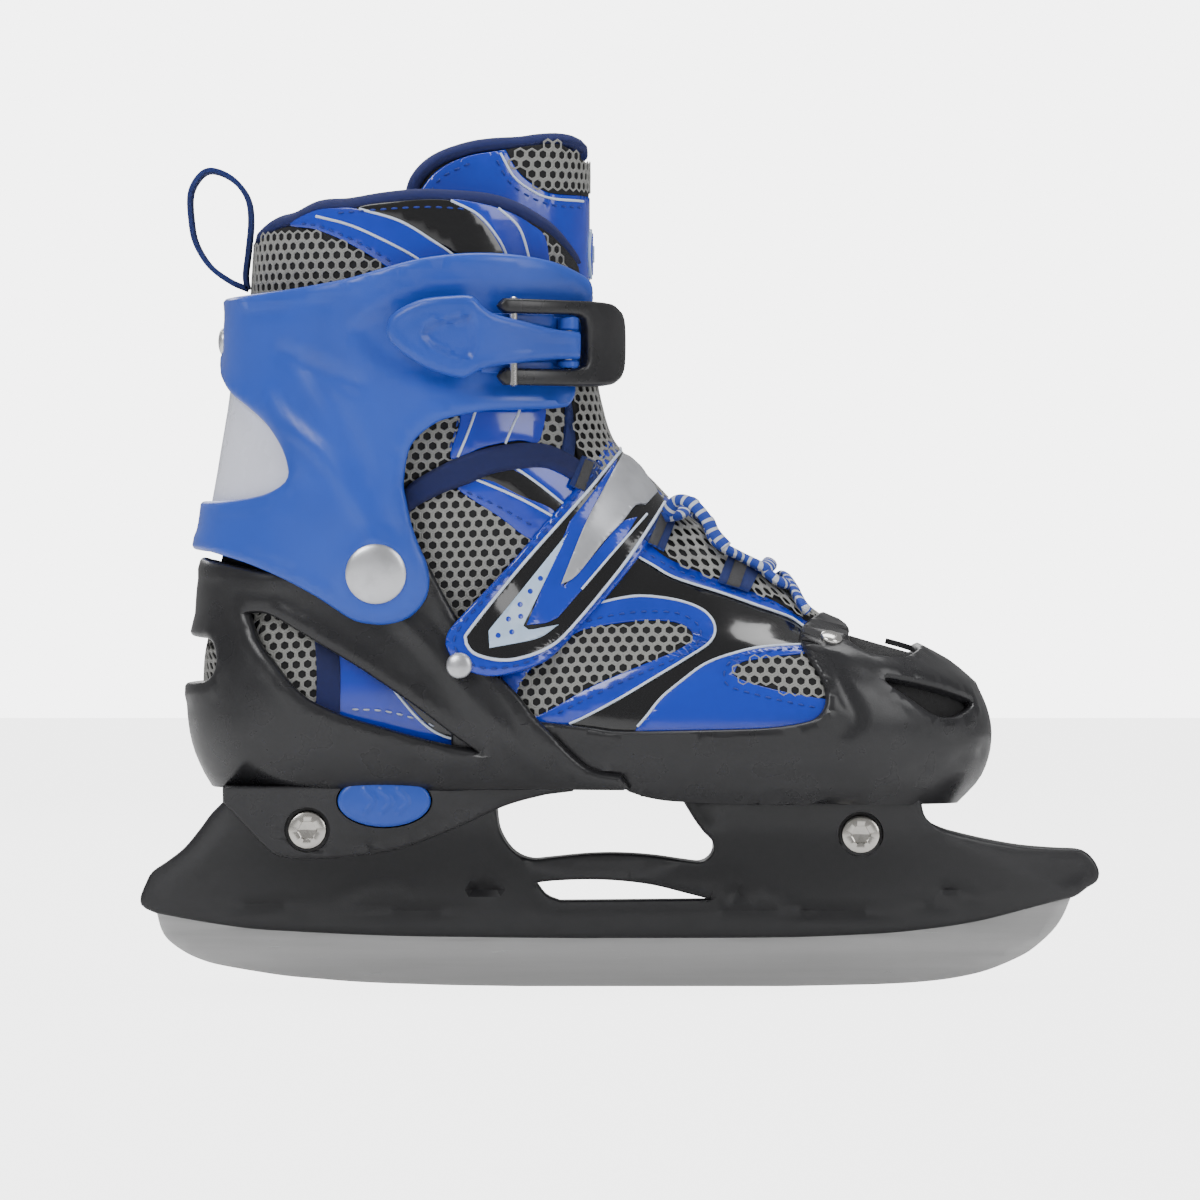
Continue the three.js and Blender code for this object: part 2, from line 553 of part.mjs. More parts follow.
// The forefoot's lower walls and the toe go with the toe shell.
const footSplit = 52 * KX;
const heelSplit = -52 * KX;
const wallSplit = 80 * KZ;
const tongueHalf = 15;
const liner = form(0).intersect(everything(linerUnder, 240 * KZ))
  .subtract(form(-LINER_WALL).intersect(everything(linerFloor, 300 * KZ)));
const tongueSlot = box(-22 * KX, footSplit + 1, -tongueHalf, tongueHalf, 92 * KZ, 200 * KZ);
const linerFoot = liner.intersect(ankleRegion)
  .intersect(everything(wallSplit + CLEARANCE, 300 * KZ, -300, footSplit)
    .add(everything(0, 300 * KZ, -300, heelSplit)))
  .subtract(tongueSlot)
  .subtract(ovalPrism(button.x, button.z, button.halfLength + 1, button.halfHeight + 1, -60, springFloor - 0.7));
add('liner_foot', largest(linerFoot), ...foam);
const tongueLower = form(0).subtract(form(-LINER_WALL))
  .intersect(ankleRegion)
  .intersect(box(-21.6 * KX, footSplit, -tongueHalf + CLEARANCE, tongueHalf - CLEARANCE, 92.4 * KZ,
    240 * KZ));
add('tongue_lower', largest(tongueLower), ...foam);
const linerToe = liner.intersect(everything(0, 300 * KZ, footSplit + CLEARANCE, 300)
  .add(everything(0, wallSplit, heelSplit + CLEARANCE, 300)));
add('liner_toe', largest(linerToe), ...foam);
const insole = form(-LINER_WALL - 0.6)
  .intersect(everything(linerFloor + CLEARANCE, linerFloor + CLEARANCE + INSOLE_THICKNESS, -300,
    86 * KX))
  .intersect(slidPast(-LINER_WALL - 0.6, heelSplit));
add('insole', largest(insole), 0x30343c, 0.8, 0);

// The upper tongue is a half-oval trough that stands in the collar's mouth.
const tonguePlan = { x: -62, reach: 52, half: 25 };
function tongueTrough(grow, y = 60) {
  const front = new THREE.EllipseCurve(tonguePlan.x * KX, 0, (tonguePlan.reach + grow) * KX,
    (tonguePlan.half + grow) * WIDTH_SCALE, -Math.PI / 2, Math.PI / 2).getPoints(24);
  const runs = front.slice(1).map((p, i) => [[front[i].x, front[i].y], [p.x, p.y]]);
  const last = front[24];
  runs.push([[last.x, last.y], [front[0].x, front[0].y]]);
  return planPrism(runs, y, 300 * KZ, inPlace);
}
const tongueSide = [
  [[-62.5, 150], [-62.5, 235]],
  [[-62.5, 235], [-60, 242], [-53, 248.5], [-38, 252.5], [-24, 254.2], [-18, 254.6], [-12.5, 251.5],
    [-9, 242]],
  [[-9, 242], [-9, 150]],
  [[-9, 150], [-62.5, 150]],
];
const tongueUpper = tongueTrough(0).subtract(tongueTrough(-LINER_WALL))
  .intersect(sidePrism(tongueSide))
  .intersect(shaftRegion);
add('tongue_upper', largest(tongueUpper), ...foam);

const collarTop = [
  [[-160, 100], [-160, 222]],
  [[-160, 222], [-107, 222]],
  [[-107, 222], [-101, 228.4], [-88, 232.6], [-60, 235.2], [-42, 234.4], [-30, 231], [-17, 220],
    [-11, 208]],
  [[-11, 208], [-8, 100]],
  [[-8, 100], [-160, 100]],
];
const collar = form(0).subtract(form(-LINER_WALL))
  .intersect(shaftRegion)
  .intersect(sidePrism(collarTop))
  .subtract(tongueTrough(CLEARANCE + 0.1))
  .subtract(box(-30 * KX, 20 * KX, -13, 13, 100 * KZ, 300 * KZ));
add('liner_collar', largest(collar), ...foam);

// ---------------------------------------------------------------- power strap
const strapSide = [
  [[-51.5, 102.5], [-50.5, 106.5], [-47, 111]],
  [[-47, 111], [-26, 134], [-10, 153], [-3.5, 165]],
  [[-3.5, 165], [2, 172]],
  [[2, 172], [34, 172]],
  [[34, 172], [16.5, 147]],
  [[16.5, 147], [0, 121.5], [-20, 99.5]],
  [[-20, 99.5], [-31, 94], [-44, 94.5], [-49.5, 98], [-51.5, 102.5]],
];
const strapDirection = { x: 0.68, z: 0.733 };
// The strap lies on the heel shell at its riveted end and sinks to the liner beyond the shell's edge.
function strapBed(extra) {
  return (p) => {
    const beyond = ((p.x / KX + 57) * 51 + (p.z / KZ - 127) * 37) / 63;
    const onShell = 1 - smooth(2, 22, beyond);
    return STRAP_IN + (HEEL_OUT + STRAP_RISE - STRAP_IN) * onShell + extra;
  };
}
const strapLayer = form(strapBed(STRAP_THICKNESS)).subtract(form(strapBed(0)));
const STRAP_INNER_END = 38;      // the free end on the inner side, measured along the strap
const beyondEnd = (start) => sidePrism([
  [[start, 60], [start + 200, 60]], [[start + 200, 60], [start + 200, -60]],
  [[start + 200, -60], [start, -60]], [[start, -60], [start, 60]],
], 0, 80, ([s, t]) => [strapRivet.x + (s * strapDirection.x - t * strapDirection.z) * KX,
  strapRivet.z + (s * strapDirection.z + t * strapDirection.x) * KZ]);
const strapBand = strapLayer.intersect(sidePrism(strapSide)).subtract(strapRivetHole);
const powerStrap = outer(strapBand).add(strapBand.intersect(beyondEnd(STRAP_INNER_END)));
add('power_strap', largest(powerStrap), ...webbing);

// On the inner side a short webbing anchors the ring that the strap runs through.
const anchorBand = (from, to, half, y0 = 0) => sidePrism([
  [[from, -half], [to, -half]], [[to, -half], [to, half]], [[to, half], [from, half]],
  [[from, half], [from, -half]],
], y0, 80, ([s, t]) => [strapRivet.x + (s * strapDirection.x - t * strapDirection.z) * KX,
  strapRivet.z + (s * strapDirection.z + t * strapDirection.x) * KZ]);
const anchor = strapLayer.intersect(anchorBand(-6, 26, 11)).subtract(strapRivetHole);
add('ring_webbing', largest(inner(anchor)), ...webbing);
const ringBody = form(strapBed(STRAP_THICKNESS + 0.6)).subtract(form(strapBed(-0.2)))
  .intersect(anchorBand(27, 37, 16))
  .subtract(anchorBand(29.5, 34.5, 12.5));
add('strap_ring', largest(inner(ringBody)), ...blackPlastic);
const strapOver = HEEL_OUT + STRAP_RISE + STRAP_THICKNESS + 0.3;
rivet('strap_rivet_outer', strapRivet, -1, HEEL_IN, strapOver, RIVET_HEAD);
rivet('strap_rivet_inner', strapRivet, 1, HEEL_IN, strapOver, RIVET_HEAD);

// ---------------------------------------------------------------- lace and its loops
const LACE_RADIUS = 1.2;
const LOOP_THICKNESS = 1.3;
const LACE_HEIGHT = 5.4;         // centre of the lace above the boot form
const loops = { upper: { x: 17.5, z: 131.5 }, lower: { x: 37, z: 121 }, ankle: { x: -16, z: 150 } };
function onForm(x, z, side, grow) {
  return new THREE.Vector3(x * KX, side < 0 ? flank(x * KX, z * KZ, grow)
    : 2 * centreLine(x) - flank(x * KX, z * KZ, grow), z * KZ);
}
const overTop = (z, grow) => formOffset(0, z, grow);
function loopTab(name, at, side) {
  const tab = sidePrism([
    [[at.x - 5, at.z - 2], [at.x - 1, at.z + 3.4]], [[at.x - 1, at.z + 3.4], [at.x + 3, at.z + 0.4]],
    [[at.x + 3, at.z + 0.4], [at.x - 1, at.z - 5]], [[at.x - 1, at.z - 5], [at.x - 5, at.z - 2]],
  ]).intersect(layer(CLEARANCE, CLEARANCE + LOOP_THICKNESS));
  add(name, largest(side < 0 ? outer(tab) : inner(tab)), ...webbing);
}
for (const [place, at] of Object.entries(loops)) {
  loopTab(`lace_loop_${place}_outer`, at, -1);
  loopTab(`lace_loop_${place}_inner`, at, 1);
}
const { upper, lower } = loops;
const laceRoute = new THREE.CatmullRomCurve3([
  onForm(upper.x + 2, upper.z + 0.5, -1, LACE_HEIGHT),
  overTop(133.5, LACE_HEIGHT + 2.9),
  onForm(lower.x + 1, lower.z + 1, 1, LACE_HEIGHT),
  overTop(122.5, LACE_HEIGHT),
  onForm(lower.x + 1, lower.z + 1, -1, LACE_HEIGHT),
  overTop(133.5, LACE_HEIGHT),
  onForm(upper.x + 2, upper.z + 0.5, 1, LACE_HEIGHT),
]);
function roundSection(radius, sides) {
  return new THREE.Shape(Array.from({ length: sides }, (_, i) => new THREE.Vector2(
    radius * Math.cos(2 * Math.PI * i / sides), radius * Math.sin(2 * Math.PI * i / sides))));
}
add('lace', solid(new THREE.ExtrudeGeometry(roundSection(LACE_RADIUS, 6),
  { steps: 44, extrudePath: laceRoute })), ...webbing);

// ---------------------------------------------------------------- cuff
const cuffSide = [
  [[-150, 206], [-116, 206]],
  [[-116, 206], [-100, 207.3], [-86, 209.2], [-66, 214.6], [-48, 217.7], [-30, 217.5], [-14, 213.4],
    [-9, 206.5]],
  [[-9, 206.5], [-14.5, 175]],
  [[-14.5, 175], [-18, 172.6]],
  [[-18, 172.6], [-45, 170.7]],
  [[-45, 170.7], [-56, 167], [-62.6, 159], [-63.8, 149], [-61.5, 138], [-57.5, 127.5], [-56.5, 119],
    [-61, 111.5], [-70, 108.5], [-77, 109.2]],
  [[-77, 109.2], [-90, 117], [-106, 125], [-124, 130.6]],
  [[-124, 130.6], [-150, 131]],
  [[-150, 131], [-150, 206]],
];
const rearWindow = [
  [[-150, 145.3], [-118, 145.3]],
  [[-118, 145.3], [-105, 147], [-98.5, 152], [-99.5, 160], [-106, 169.5], [-115, 177], [-118.7, 184]],
  [[-118.7, 184], [-150, 186]],
  [[-150, 186], [-150, 145.3]],
];
const backRivetZ = 193 * KZ;
const cuffHole = new THREE.CylinderGeometry(RIVET_PIN + CLEARANCE, RIVET_PIN + CLEARANCE, 60, 12);
cuffHole.rotateZ(Math.PI / 2);
cuffHole.translate(-130 * KX, 0, backRivetZ);
const ladderRivet = { x: -46 * KX, z: 190.5 * KZ };
const baseRivet = { x: -28.8 * KX, z: 191.2 * KZ };
const cuffShell = layer(CUFF_IN, CUFF_OUT)
  .intersect(sidePrism(cuffSide))
  .subtract(sidePrism(rearWindow))
  .subtract(crossPin(pivot.x, pivot.z, PIVOT_PIN + CLEARANCE, -80, 80))
  .subtract(solid(cuffHole))
  .subtract(rivetHole(baseRivet, -1))
  .subtract(rivetHole(ladderRivet, 1));
add('cuff_shell', largest(cuffShell), ...bluePlastic);

const PANEL_WALL = 1.4;
const panelSide = [
  [[-150, 141], [-112, 141.5], [-98, 145], [-93, 151], [-95, 161], [-102, 172], [-109, 182], [-112, 198]],
  [[-112, 198], [-150, 198]],
  [[-150, 198], [-150, 141]],
];
const backPanel = layer(CUFF_IN - CLEARANCE - PANEL_WALL, CUFF_IN - CLEARANCE)
  .intersect(sidePrism(panelSide))
  .subtract(solid(cuffHole));
add('back_panel', largest(backPanel), ...whitePlastic);

const backSkin = formOffset(Math.PI, backRivetZ / KZ, CUFF_OUT).x;
function alongX(radius, x0, x1, sides = 16) {
  const geometry = new THREE.CylinderGeometry(radius, radius, x1 - x0, sides);
  geometry.rotateZ(Math.PI / 2);
  geometry.translate((x0 + x1) / 2, 0, backRivetZ);
  return solid(geometry);
}
add('back_rivet', union(
  alongX(4.2, backSkin - CLEARANCE - 1.6, backSkin - CLEARANCE),
  alongX(RIVET_PIN, backSkin - 1, backSkin + CUFF_WALL + PANEL_WALL + 1.6),
  alongX(3, backSkin + CUFF_WALL + PANEL_WALL + 3 * CLEARANCE, backSkin + CUFF_WALL + PANEL_WALL + 2),
), ...rivetSteel);

// Ankle pivots: a broad head outside the cuff and a flat one between shell and liner.
for (const [side, sign] of [['outer', -1], ['inner', 1]]) {
  const skin = Math.abs(flank(pivot.x, pivot.z, 0));
  const head = skin + CUFF_OUT + 1.1;
  const pin = (radius, from, to, sides) => (sign < 0 ? crossPin(pivot.x, pivot.z, radius, -to, -from, sides)
    : crossPin(pivot.x, pivot.z, radius, from, to, sides));
  add(`ankle_rivet_${side}`, union(
    pin(PIVOT_HEAD, head, head + PIVOT_HEAD_HEIGHT, 24),
    pin(PIVOT_PIN, skin + 1.6, head + 1, 20),
    pin(PIVOT_PIN + 2.5, skin + 1.1, skin + 2.4, 20),
  ), ...rivetSteel);
}

// ---------------------------------------------------------------- buckle
const ladderSide = [[[-60, 183.8], [12, 183.8]], [[12, 183.8], [12, 197.2]], [[12, 197.2], [-60, 197.2]],
  [[-60, 197.2], [-60, 183.8]]];
const LADDER_THICKNESS = 1.8;
const ladder = layer(CUFF_OUT + CLEARANCE, CUFF_OUT + CLEARANCE + LADDER_THICKNESS)
  .intersect(sidePrism(ladderSide, -10, 80))
  .subtract(rivetHole(ladderRivet, 1));
add('ladder_strap', largest(ladder), ...blackPlastic);
rivet('ladder_rivet', ladderRivet, 1, CUFF_IN, CUFF_OUT + CLEARANCE + LADDER_THICKNESS, RIVET_HEAD);

const KNUCKLE = 3.2;
const LEVER_PIN = 1.4;
const BAIL_PIN = 1.3;
const leverAxis = { x: -15.5 * KX };
leverAxis.y = flank(leverAxis.x, 191 * KZ, CUFF_OUT + KNUCKLE + 0.7);
const bailAxis = { x: -31.5 * KX };
bailAxis.y = flank(bailAxis.x, 191 * KZ, CUFF_OUT + 4.9);
const neck = { z0: 187 * KZ, z1: 195 * KZ };
const baseEnds = { z0: 184.4 * KZ, z1: 199.4 * KZ };
const bailArms = { z0: 179 * KZ, z1: 184 * KZ, z2: 200 * KZ, z3: 204.5 * KZ };
const quad = (x0, x1, z0, z1) => [[[x0, z0], [x1, z0]], [[x1, z0], [x1, z1]], [[x1, z1], [x0, z1]],
  [[x0, z1], [x0, z0]]];
const knuckle = (radius, z0, z1) => uprightPin(leverAxis.x, leverAxis.y, radius, z0, z1);
const bailEye = (radius, z0, z1) => uprightPin(bailAxis.x, bailAxis.y, radius, z0, z1);

const BASE_PLATE = 1.6;
const buckleBase = union(
  outer(layer(CUFF_OUT + CLEARANCE, CUFF_OUT + CLEARANCE + BASE_PLATE)
    .intersect(sidePrism(quad(-27 * KX, leverAxis.x + 1, baseEnds.z0, baseEnds.z1), -80, 80, inPlace))),
  knuckle(KNUCKLE, baseEnds.z0, baseEnds.z1),
).subtract(knuckle(KNUCKLE + CLEARANCE, neck.z0 - CLEARANCE, neck.z1 + CLEARANCE))
  .subtract(knuckle(LEVER_PIN + 0.15, 0, 300))
  .subtract(rivetHole(baseRivet, -1));
add('buckle_base', largest(buckleBase), ...bluePlastic);
rivet('base_rivet', baseRivet, -1, CUFF_IN, CUFF_OUT + CLEARANCE + BASE_PLATE, 2.8, RIVET_PIN, 0.6);
add('lever_pin', knuckle(LEVER_PIN, baseEnds.z0, baseEnds.z1), ...rivetSteel);

const leverSide = [
  [[-68.5, 195], [-66.8, 199.5], [-60, 203.4], [-52, 205], [-44, 205]],
  [[-44, 205], [-38, 200], [-20, 195.6]],
  [[-20, 195.6], [-14, 195]],
  [[-14, 195], [-14, 187]],
  [[-14, 187], [-20, 186.6], [-38, 184.2], [-44, 181.8]],
  [[-44, 181.8], [-51, 181.6], [-60, 185.8], [-67, 191.5], [-68.5, 195]],
];
const leverIn = CUFF_OUT + CLEARANCE + BASE_PLATE + 1.4;
const LEVER_THICKNESS = 4.2;
const leverBand = outer(layer(leverIn, leverIn + LEVER_THICKNESS).intersect(sidePrism(leverSide)));
const neckBand = everything(neck.z0, neck.z1, leverAxis.x - 8, 100);
const lever = union(
  leverBand.subtract(everything(0, neck.z0, bailAxis.x + 6, 100))
    .subtract(everything(neck.z1, 400, bailAxis.x + 6, 100)),
  knuckle(KNUCKLE, neck.z0, neck.z1),
  bailEye(3, 186.5 * KZ, 197 * KZ),
  leverBand.intersect(neckBand),
).subtract(knuckle(LEVER_PIN + 0.15, 0, 300))
  .subtract(bailEye(BAIL_PIN + 0.15, 0, 400))
  .subtract(bailEye(14, bailArms.z0 - 0.5, bailArms.z1 + 0.5))
  .subtract(bailEye(14, bailArms.z2 - 0.5, 208 * KZ));
add('buckle_lever', largest(lever), ...bluePlastic);
add('bail_pin', bailEye(BAIL_PIN, bailArms.z0 - 0.4, bailArms.z3 + 0.4), ...rivetSteel);

const bailBand = outer(layer(CUFF_OUT + 3, CUFF_OUT + 6.2));
const bailReach = box(-60 * KX, 30 * KX, -80, -8, 0, 400);
const bail = union(
  bailBand.intersect(sidePrism(quad(bailAxis.x, 10 * KX, bailArms.z0, bailArms.z1), -80, 0, inPlace)),
  bailBand.intersect(sidePrism(quad(bailAxis.x, 10 * KX, bailArms.z2, bailArms.z3), -80, 0, inPlace)),
  bailBand.intersect(sidePrism(quad(-10.5 * KX, 10 * KX, bailArms.z0, bailArms.z3), -80, 0, inPlace)),
  bailEye(3.4, bailArms.z0, bailArms.z1),
  bailEye(3.4, bailArms.z2, bailArms.z3),
).intersect(bailReach).subtract(bailEye(BAIL_PIN + 0.15, 0, 400));
add('buckle_bail', largest(bail), ...blackPlastic);

// ---------------------------------------------------------------- size button
const stem = { half: 2.5, z1: soleTop - CLEARANCE };
const sizeButton = union(
  ovalPrism(button.x, button.z, button.halfLength, button.halfHeight, button.face,
    button.face + button.depth),
  box(button.x - stem.half, button.x + stem.half, button.face + 4, -5.5, soleUnder + 0.1, stem.z1),
  box(button.x - 1.3, button.x + 1.3, -9.6, -5.5, slideUnder + CLEARANCE, soleUnder + 0.5),
);
add('size_button', sizeButton, ...bluePlastic);

class Helix extends THREE.Curve {
  constructor(radius, from, to, turns) {
    super();
    Object.assign(this, { radius, from, to, turns });
  }

  getPoint(t) {
    const angle = 2 * Math.PI * this.turns * t;
    return new THREE.Vector3(this.radius * Math.cos(angle), this.from + (this.to - this.from) * t,
      this.radius * Math.sin(angle));
  }
}
const spring = solid(new THREE.ExtrudeGeometry(roundSection(0.35, 6),
  { steps: 42, extrudePath: new Helix(1.9, button.face + button.depth + 0.8, springFloor, 3.5) }))
  .translate([button.x + 8, 0, button.z - 1.2]);
add('button_spring', spring, ...rivetSteel);

// ---------------------------------------------------------------- pull loop
const LOOP_WIDTH = 11;
const loopOutside = [[[-112, 207.8], [-118, 211], [-125, 218], [-129.5, 229], [-130, 239], [-125, 246],
  [-117.5, 244.5], [-111.5, 239.5], [-109.6, 232], [-110.2, 222], [-110.8, 212], [-112, 207.8]]];
const loopInside = [[[-113.6, 213], [-121.5, 219], [-126.6, 229], [-127.4, 238], [-124, 243.2],
  [-118.4, 241.8], [-114, 237.4], [-112.2, 230], [-112.8, 222], [-113.6, 213]]];
add('pull_loop', sidePrism(loopOutside, -LOOP_WIDTH / 2, LOOP_WIDTH / 2)
  .subtract(sidePrism(loopInside, -LOOP_WIDTH, LOOP_WIDTH)), ...webbing);

export default group;
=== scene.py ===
import math

import bpy
import numpy as np
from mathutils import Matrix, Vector, geometry


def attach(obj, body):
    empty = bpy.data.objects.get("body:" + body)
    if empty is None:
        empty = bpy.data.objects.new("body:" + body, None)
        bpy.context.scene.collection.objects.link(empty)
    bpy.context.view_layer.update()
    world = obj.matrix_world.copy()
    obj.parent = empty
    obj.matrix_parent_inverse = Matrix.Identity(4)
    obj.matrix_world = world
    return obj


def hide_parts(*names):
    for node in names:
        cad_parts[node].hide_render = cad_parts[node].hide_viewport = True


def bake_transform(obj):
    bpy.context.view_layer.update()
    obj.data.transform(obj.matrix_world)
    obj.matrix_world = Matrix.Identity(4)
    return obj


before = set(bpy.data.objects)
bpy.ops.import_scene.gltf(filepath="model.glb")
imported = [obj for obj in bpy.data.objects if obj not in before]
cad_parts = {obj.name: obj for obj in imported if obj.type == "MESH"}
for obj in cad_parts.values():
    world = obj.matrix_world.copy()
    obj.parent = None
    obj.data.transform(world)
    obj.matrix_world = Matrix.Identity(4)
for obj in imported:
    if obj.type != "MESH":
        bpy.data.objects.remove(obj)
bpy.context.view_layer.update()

bl_info = {"name": "Adjustable Ice Skate", "version": (1, 0, 0), "blender": (4, 5, 0),
    "location": "View3D > Sidebar > Ice Skate",
    "description": "Builds the looks of a child's size-adjustable ice skate around its packed frame",
    "category": "Object",}

# Lengths below are in millimetres in the frame's own axes: +X to the toe, +Z up, -Y the outer side.
MM = 0.001
OUTER, INNER = -1, 1


# ---------------------------------------------------------------- boot form
def stations(points):
    """A smooth curve through stations (z, value), flat at both ends, for arrays of z."""
    zs = np.array([p[0] for p in points], float)
    vs = np.array([p[1] for p in points], float)
    slopes = np.zeros(len(zs))
    slopes[1:-1] = (vs[2:] - vs[:-2]) / (zs[2:] - zs[:-2])

    def curve(z):
        z = np.clip(np.asarray(z, float), zs[0], zs[-1])
        i = np.clip(np.searchsorted(zs, z, side="right") - 1, 0, len(zs) - 2)
        h = zs[i + 1] - zs[i]
        t = (z - zs[i]) / h
        a = t * t * (3 - 2 * t)
        bend = h * t * (1 - t) * (slopes[i] * (1 - t) - slopes[i + 1] * t)
        return vs[i] * (1 - a) + vs[i + 1] * a + bend
    return curve


back_line = stations([(56, -108), (61, -115), (66, -119), (74, -122.5), (84, -124), (98, -124), (110,
    -121.8), (120, -121), (128, -119.5), (140, -117), (160, -113.5), (180, -110.5), (204, -109.5), (238,
    -108)])
front_line = stations([(56, 97), (61, 103), (66, 106.5), (74, 108.5), (82, 107.5), (89, 104), (94, 99), (98,
    92.5), (101, 84), (103.5, 74.5), (106, 66), (109, 59.5), (113, 54), (119, 46), (126, 37), (134, 26),
    (142, 15), (150, 7), (157, -0.5), (163, -5), (172, -8), (184, -10.3), (200, -11), (238, -12)])
heel_half = stations([(56, 11), (61, 17), (66, 22.5), (74, 27.5), (84, 29.8), (98, 30), (112, 30), (126,
    31.5), (142, 33), (160, 33.7), (180, 35), (205, 37), (238, 38)])
fore_half = stations([(56, 28), (61, 33), (67, 37), (76, 39.5), (86, 39.3), (96, 36.5), (106, 32), (116,
    28), (130, 25), (146, 24.5), (160, 27), (176, 30.5), (190, 34), (205, 37), (238, 38)])
back_round = stations([(60, 34), (120, 40), (160, 48), (238, 50)])
front_round = stations([(60, 58), (96, 56), (112, 44), (150, 42), (180, 50), (238, 50)])


def ramp(a, b, x):
    t = np.clip((np.asarray(x, float) - a) / (b - a), 0, 1)
    return t * t * (3 - 2 * t)


def round_end(s):
    return np.sqrt(np.clip(1 - (1 - np.clip(s, 0, 1)) ** 2, 0, None))


TONGUE_X, TONGUE_REACH, TONGUE_HALF = -62, 52, 25
current = {"tongue": False}


def form(turn, z):
    """Points of the boot form: turn 0 is the toe end, pi the heel; the outer side is 0 to pi.
    While the tongue is built, the half oval of its upper part stands in for the boot."""
    turn = np.asarray(turn, float)
    z = np.asarray(z, float)
    if current["tongue"]:
        x = TONGUE_X + TONGUE_REACH * np.cos(turn / 2)
        return np.stack([x + 0 * z, -TONGUE_HALF * np.sin(turn / 2) + 0 * z, z + 0 * x], -1)
    x0, x1 = back_line(z), front_line(z)
    x = x1 - (x1 - x0) * (1 - np.cos(turn)) / 2
    across = ramp(-62, 18, x)
    half = heel_half(z) * (1 - across) + fore_half(z) * across
    half = half * round_end((x - x0) / back_round(z)) * round_end((x1 - x) / front_round(z))
    y = 2.5 * ramp(10, 100, x) - np.where(np.sin(turn) >= 0, 1, -1) * half
    return np.stack([x, y, z + 0 * x], -1)


def form_normal(turn, z):
    turn = np.asarray(turn, float)
    z = np.asarray(z, float)
    along = form(turn + 0.04, z) - form(turn - 0.04, z)
    up = form(turn, z + 0.8) - form(turn, z - 0.8)
    n = np.cross(up, along)
    return n / np.linalg.norm(n, axis=-1, keepdims=True)


def on_form(turn, z, height):
    height = np.asarray(height, float)
    return form(turn, z) + form_normal(turn, z) * height[..., None]


def turn_at(x, z, height, side=OUTER):
    """(turn, level) of the form under a side-view point (x, z) of the layer at a height."""
    x, z = np.asarray(x, float), np.asarray(z, float)
    level = z.copy()
    for _ in range(4):
        low, high = np.zeros_like(x), np.full_like(x, math.pi)
        for _ in range(22):
            mid = (low + high) / 2
            ahead = on_form(mid, level, np.full_like(x, height))[..., 0] > x
            low, high = np.where(ahead, mid, low), np.where(ahead, high, mid)
        turn = (low + high) / 2
        level = z - form_normal(turn, level)[..., 2] * height
    return (turn if side == OUTER else -turn), level


# ---------------------------------------------------------------- outlines
def curve_through(points, step=1.5, closed=False):
    """Points along a Catmull-Rom curve through 2-D or 3-D points, about a step apart."""
    p = np.array(points, float)
    if len(p) == 2 and not closed:
        count = max(2, int(np.linalg.norm(p[1] - p[0]) / step) + 1)
        return p[0] + (p[1] - p[0]) * np.linspace(0, 1, count)[:, None]
    ends = (p[-1:], p[:2]) if closed else (2 * p[:1] - p[1:2], 2 * p[-1:] - p[-2:-1])
    q = np.concatenate([ends[0], p, ends[1]])
    out = []
    for i in range(1, len(q) - 2):
        a, b, c, d = q[i - 1:i + 3]
        count = max(1, int(round(np.linalg.norm(c - b) / step)))
        t = (np.arange(count) / count)[:, None]
        out.append(0.5 * (2 * b + (c - a) * t + (2 * a - 5 * b + 4 * c - d) * t * t + (3 * b - a - 3 * c
            + d) * t ** 3))
    if not closed:
        out.append(p[-1:])
    return np.concatenate(out)


def runs(*parts, step=1.5, closed=True):
    """An outline of several runs of points; a run of three or more is smooth, and corners lie between."""
    points = [curve_through(part, step)[:-1] for part in parts]
    if not closed:
        points.append(np.array(parts[-1][-1:], float))
    return np.concatenate(points)


def straight(*corners, step=1.5):
    """A closed outline of straight edges between corners."""
    return runs(*([a, b] for a, b in zip(corners, [*corners[1:], corners[0]])), step=step)


def on_side(points, height, side=OUTER):
    """A side-view outline as form places (turn, level) on one side."""
    points = np.asarray(points, float)
    if callable(height):
        height = height(points[:, 0], points[:, 1])
    turn, level = turn_at(points[:, 0], points[:, 1], height, side)
    return np.stack([turn % (2 * math.pi) if side == INNER else turn, level], -1)


def round_back(points, height):
    """An open side-view run whose two ends meet the back, mirrored round the back of the boot."""
    near = on_side(points, height)
    near[0, 0] = near[-1, 0] = math.pi
    far = near[1:-1][::-1] * [-1, 1] + [2 * math.pi, 0]
    return np.concatenate([near, far])


def round_front(points, height):
    """The same round the front; the inner side has negative turns."""
    near = on_side(points, height)
    near[0, 0] = near[-1, 0] = 0
    far = near[1:-1][::-1] * [-1, 1]
    return np.concatenate([near, far])


def mirrored(places):
    return places[::-1] * [-1, 1] + [2 * math.pi, 0]


# ---------------------------------------------------------------- meshes
def new_object(name, points, faces, material, uvs=None, smooth=True, autosmooth=40):
    mesh = bpy.data.meshes.new(name)
    mesh.from_pydata((np.asarray(points) * MM).tolist(), [], faces)
    mesh.validate()
    if uvs is not None:
        layer = mesh.uv_layers.new(name="UVMap")
        index = np.empty(len(mesh.loops), int)
        mesh.loops.foreach_get("vertex_index", index)
        layer.data.foreach_set("uv", np.asarray(uvs, float)[index].ravel())
    if smooth:
        mesh.polygons.foreach_set("use_smooth", np.ones(len(mesh.polygons), bool))
    obj = bpy.data.objects.new(name, mesh)
    bpy.context.collection.objects.link(obj)
    if smooth:
        mesh.set_sharp_from_angle(angle=math.radians(autosmooth))
    mesh.materials.append(looks[material] if isinstance(material, str) else material)
    return obj


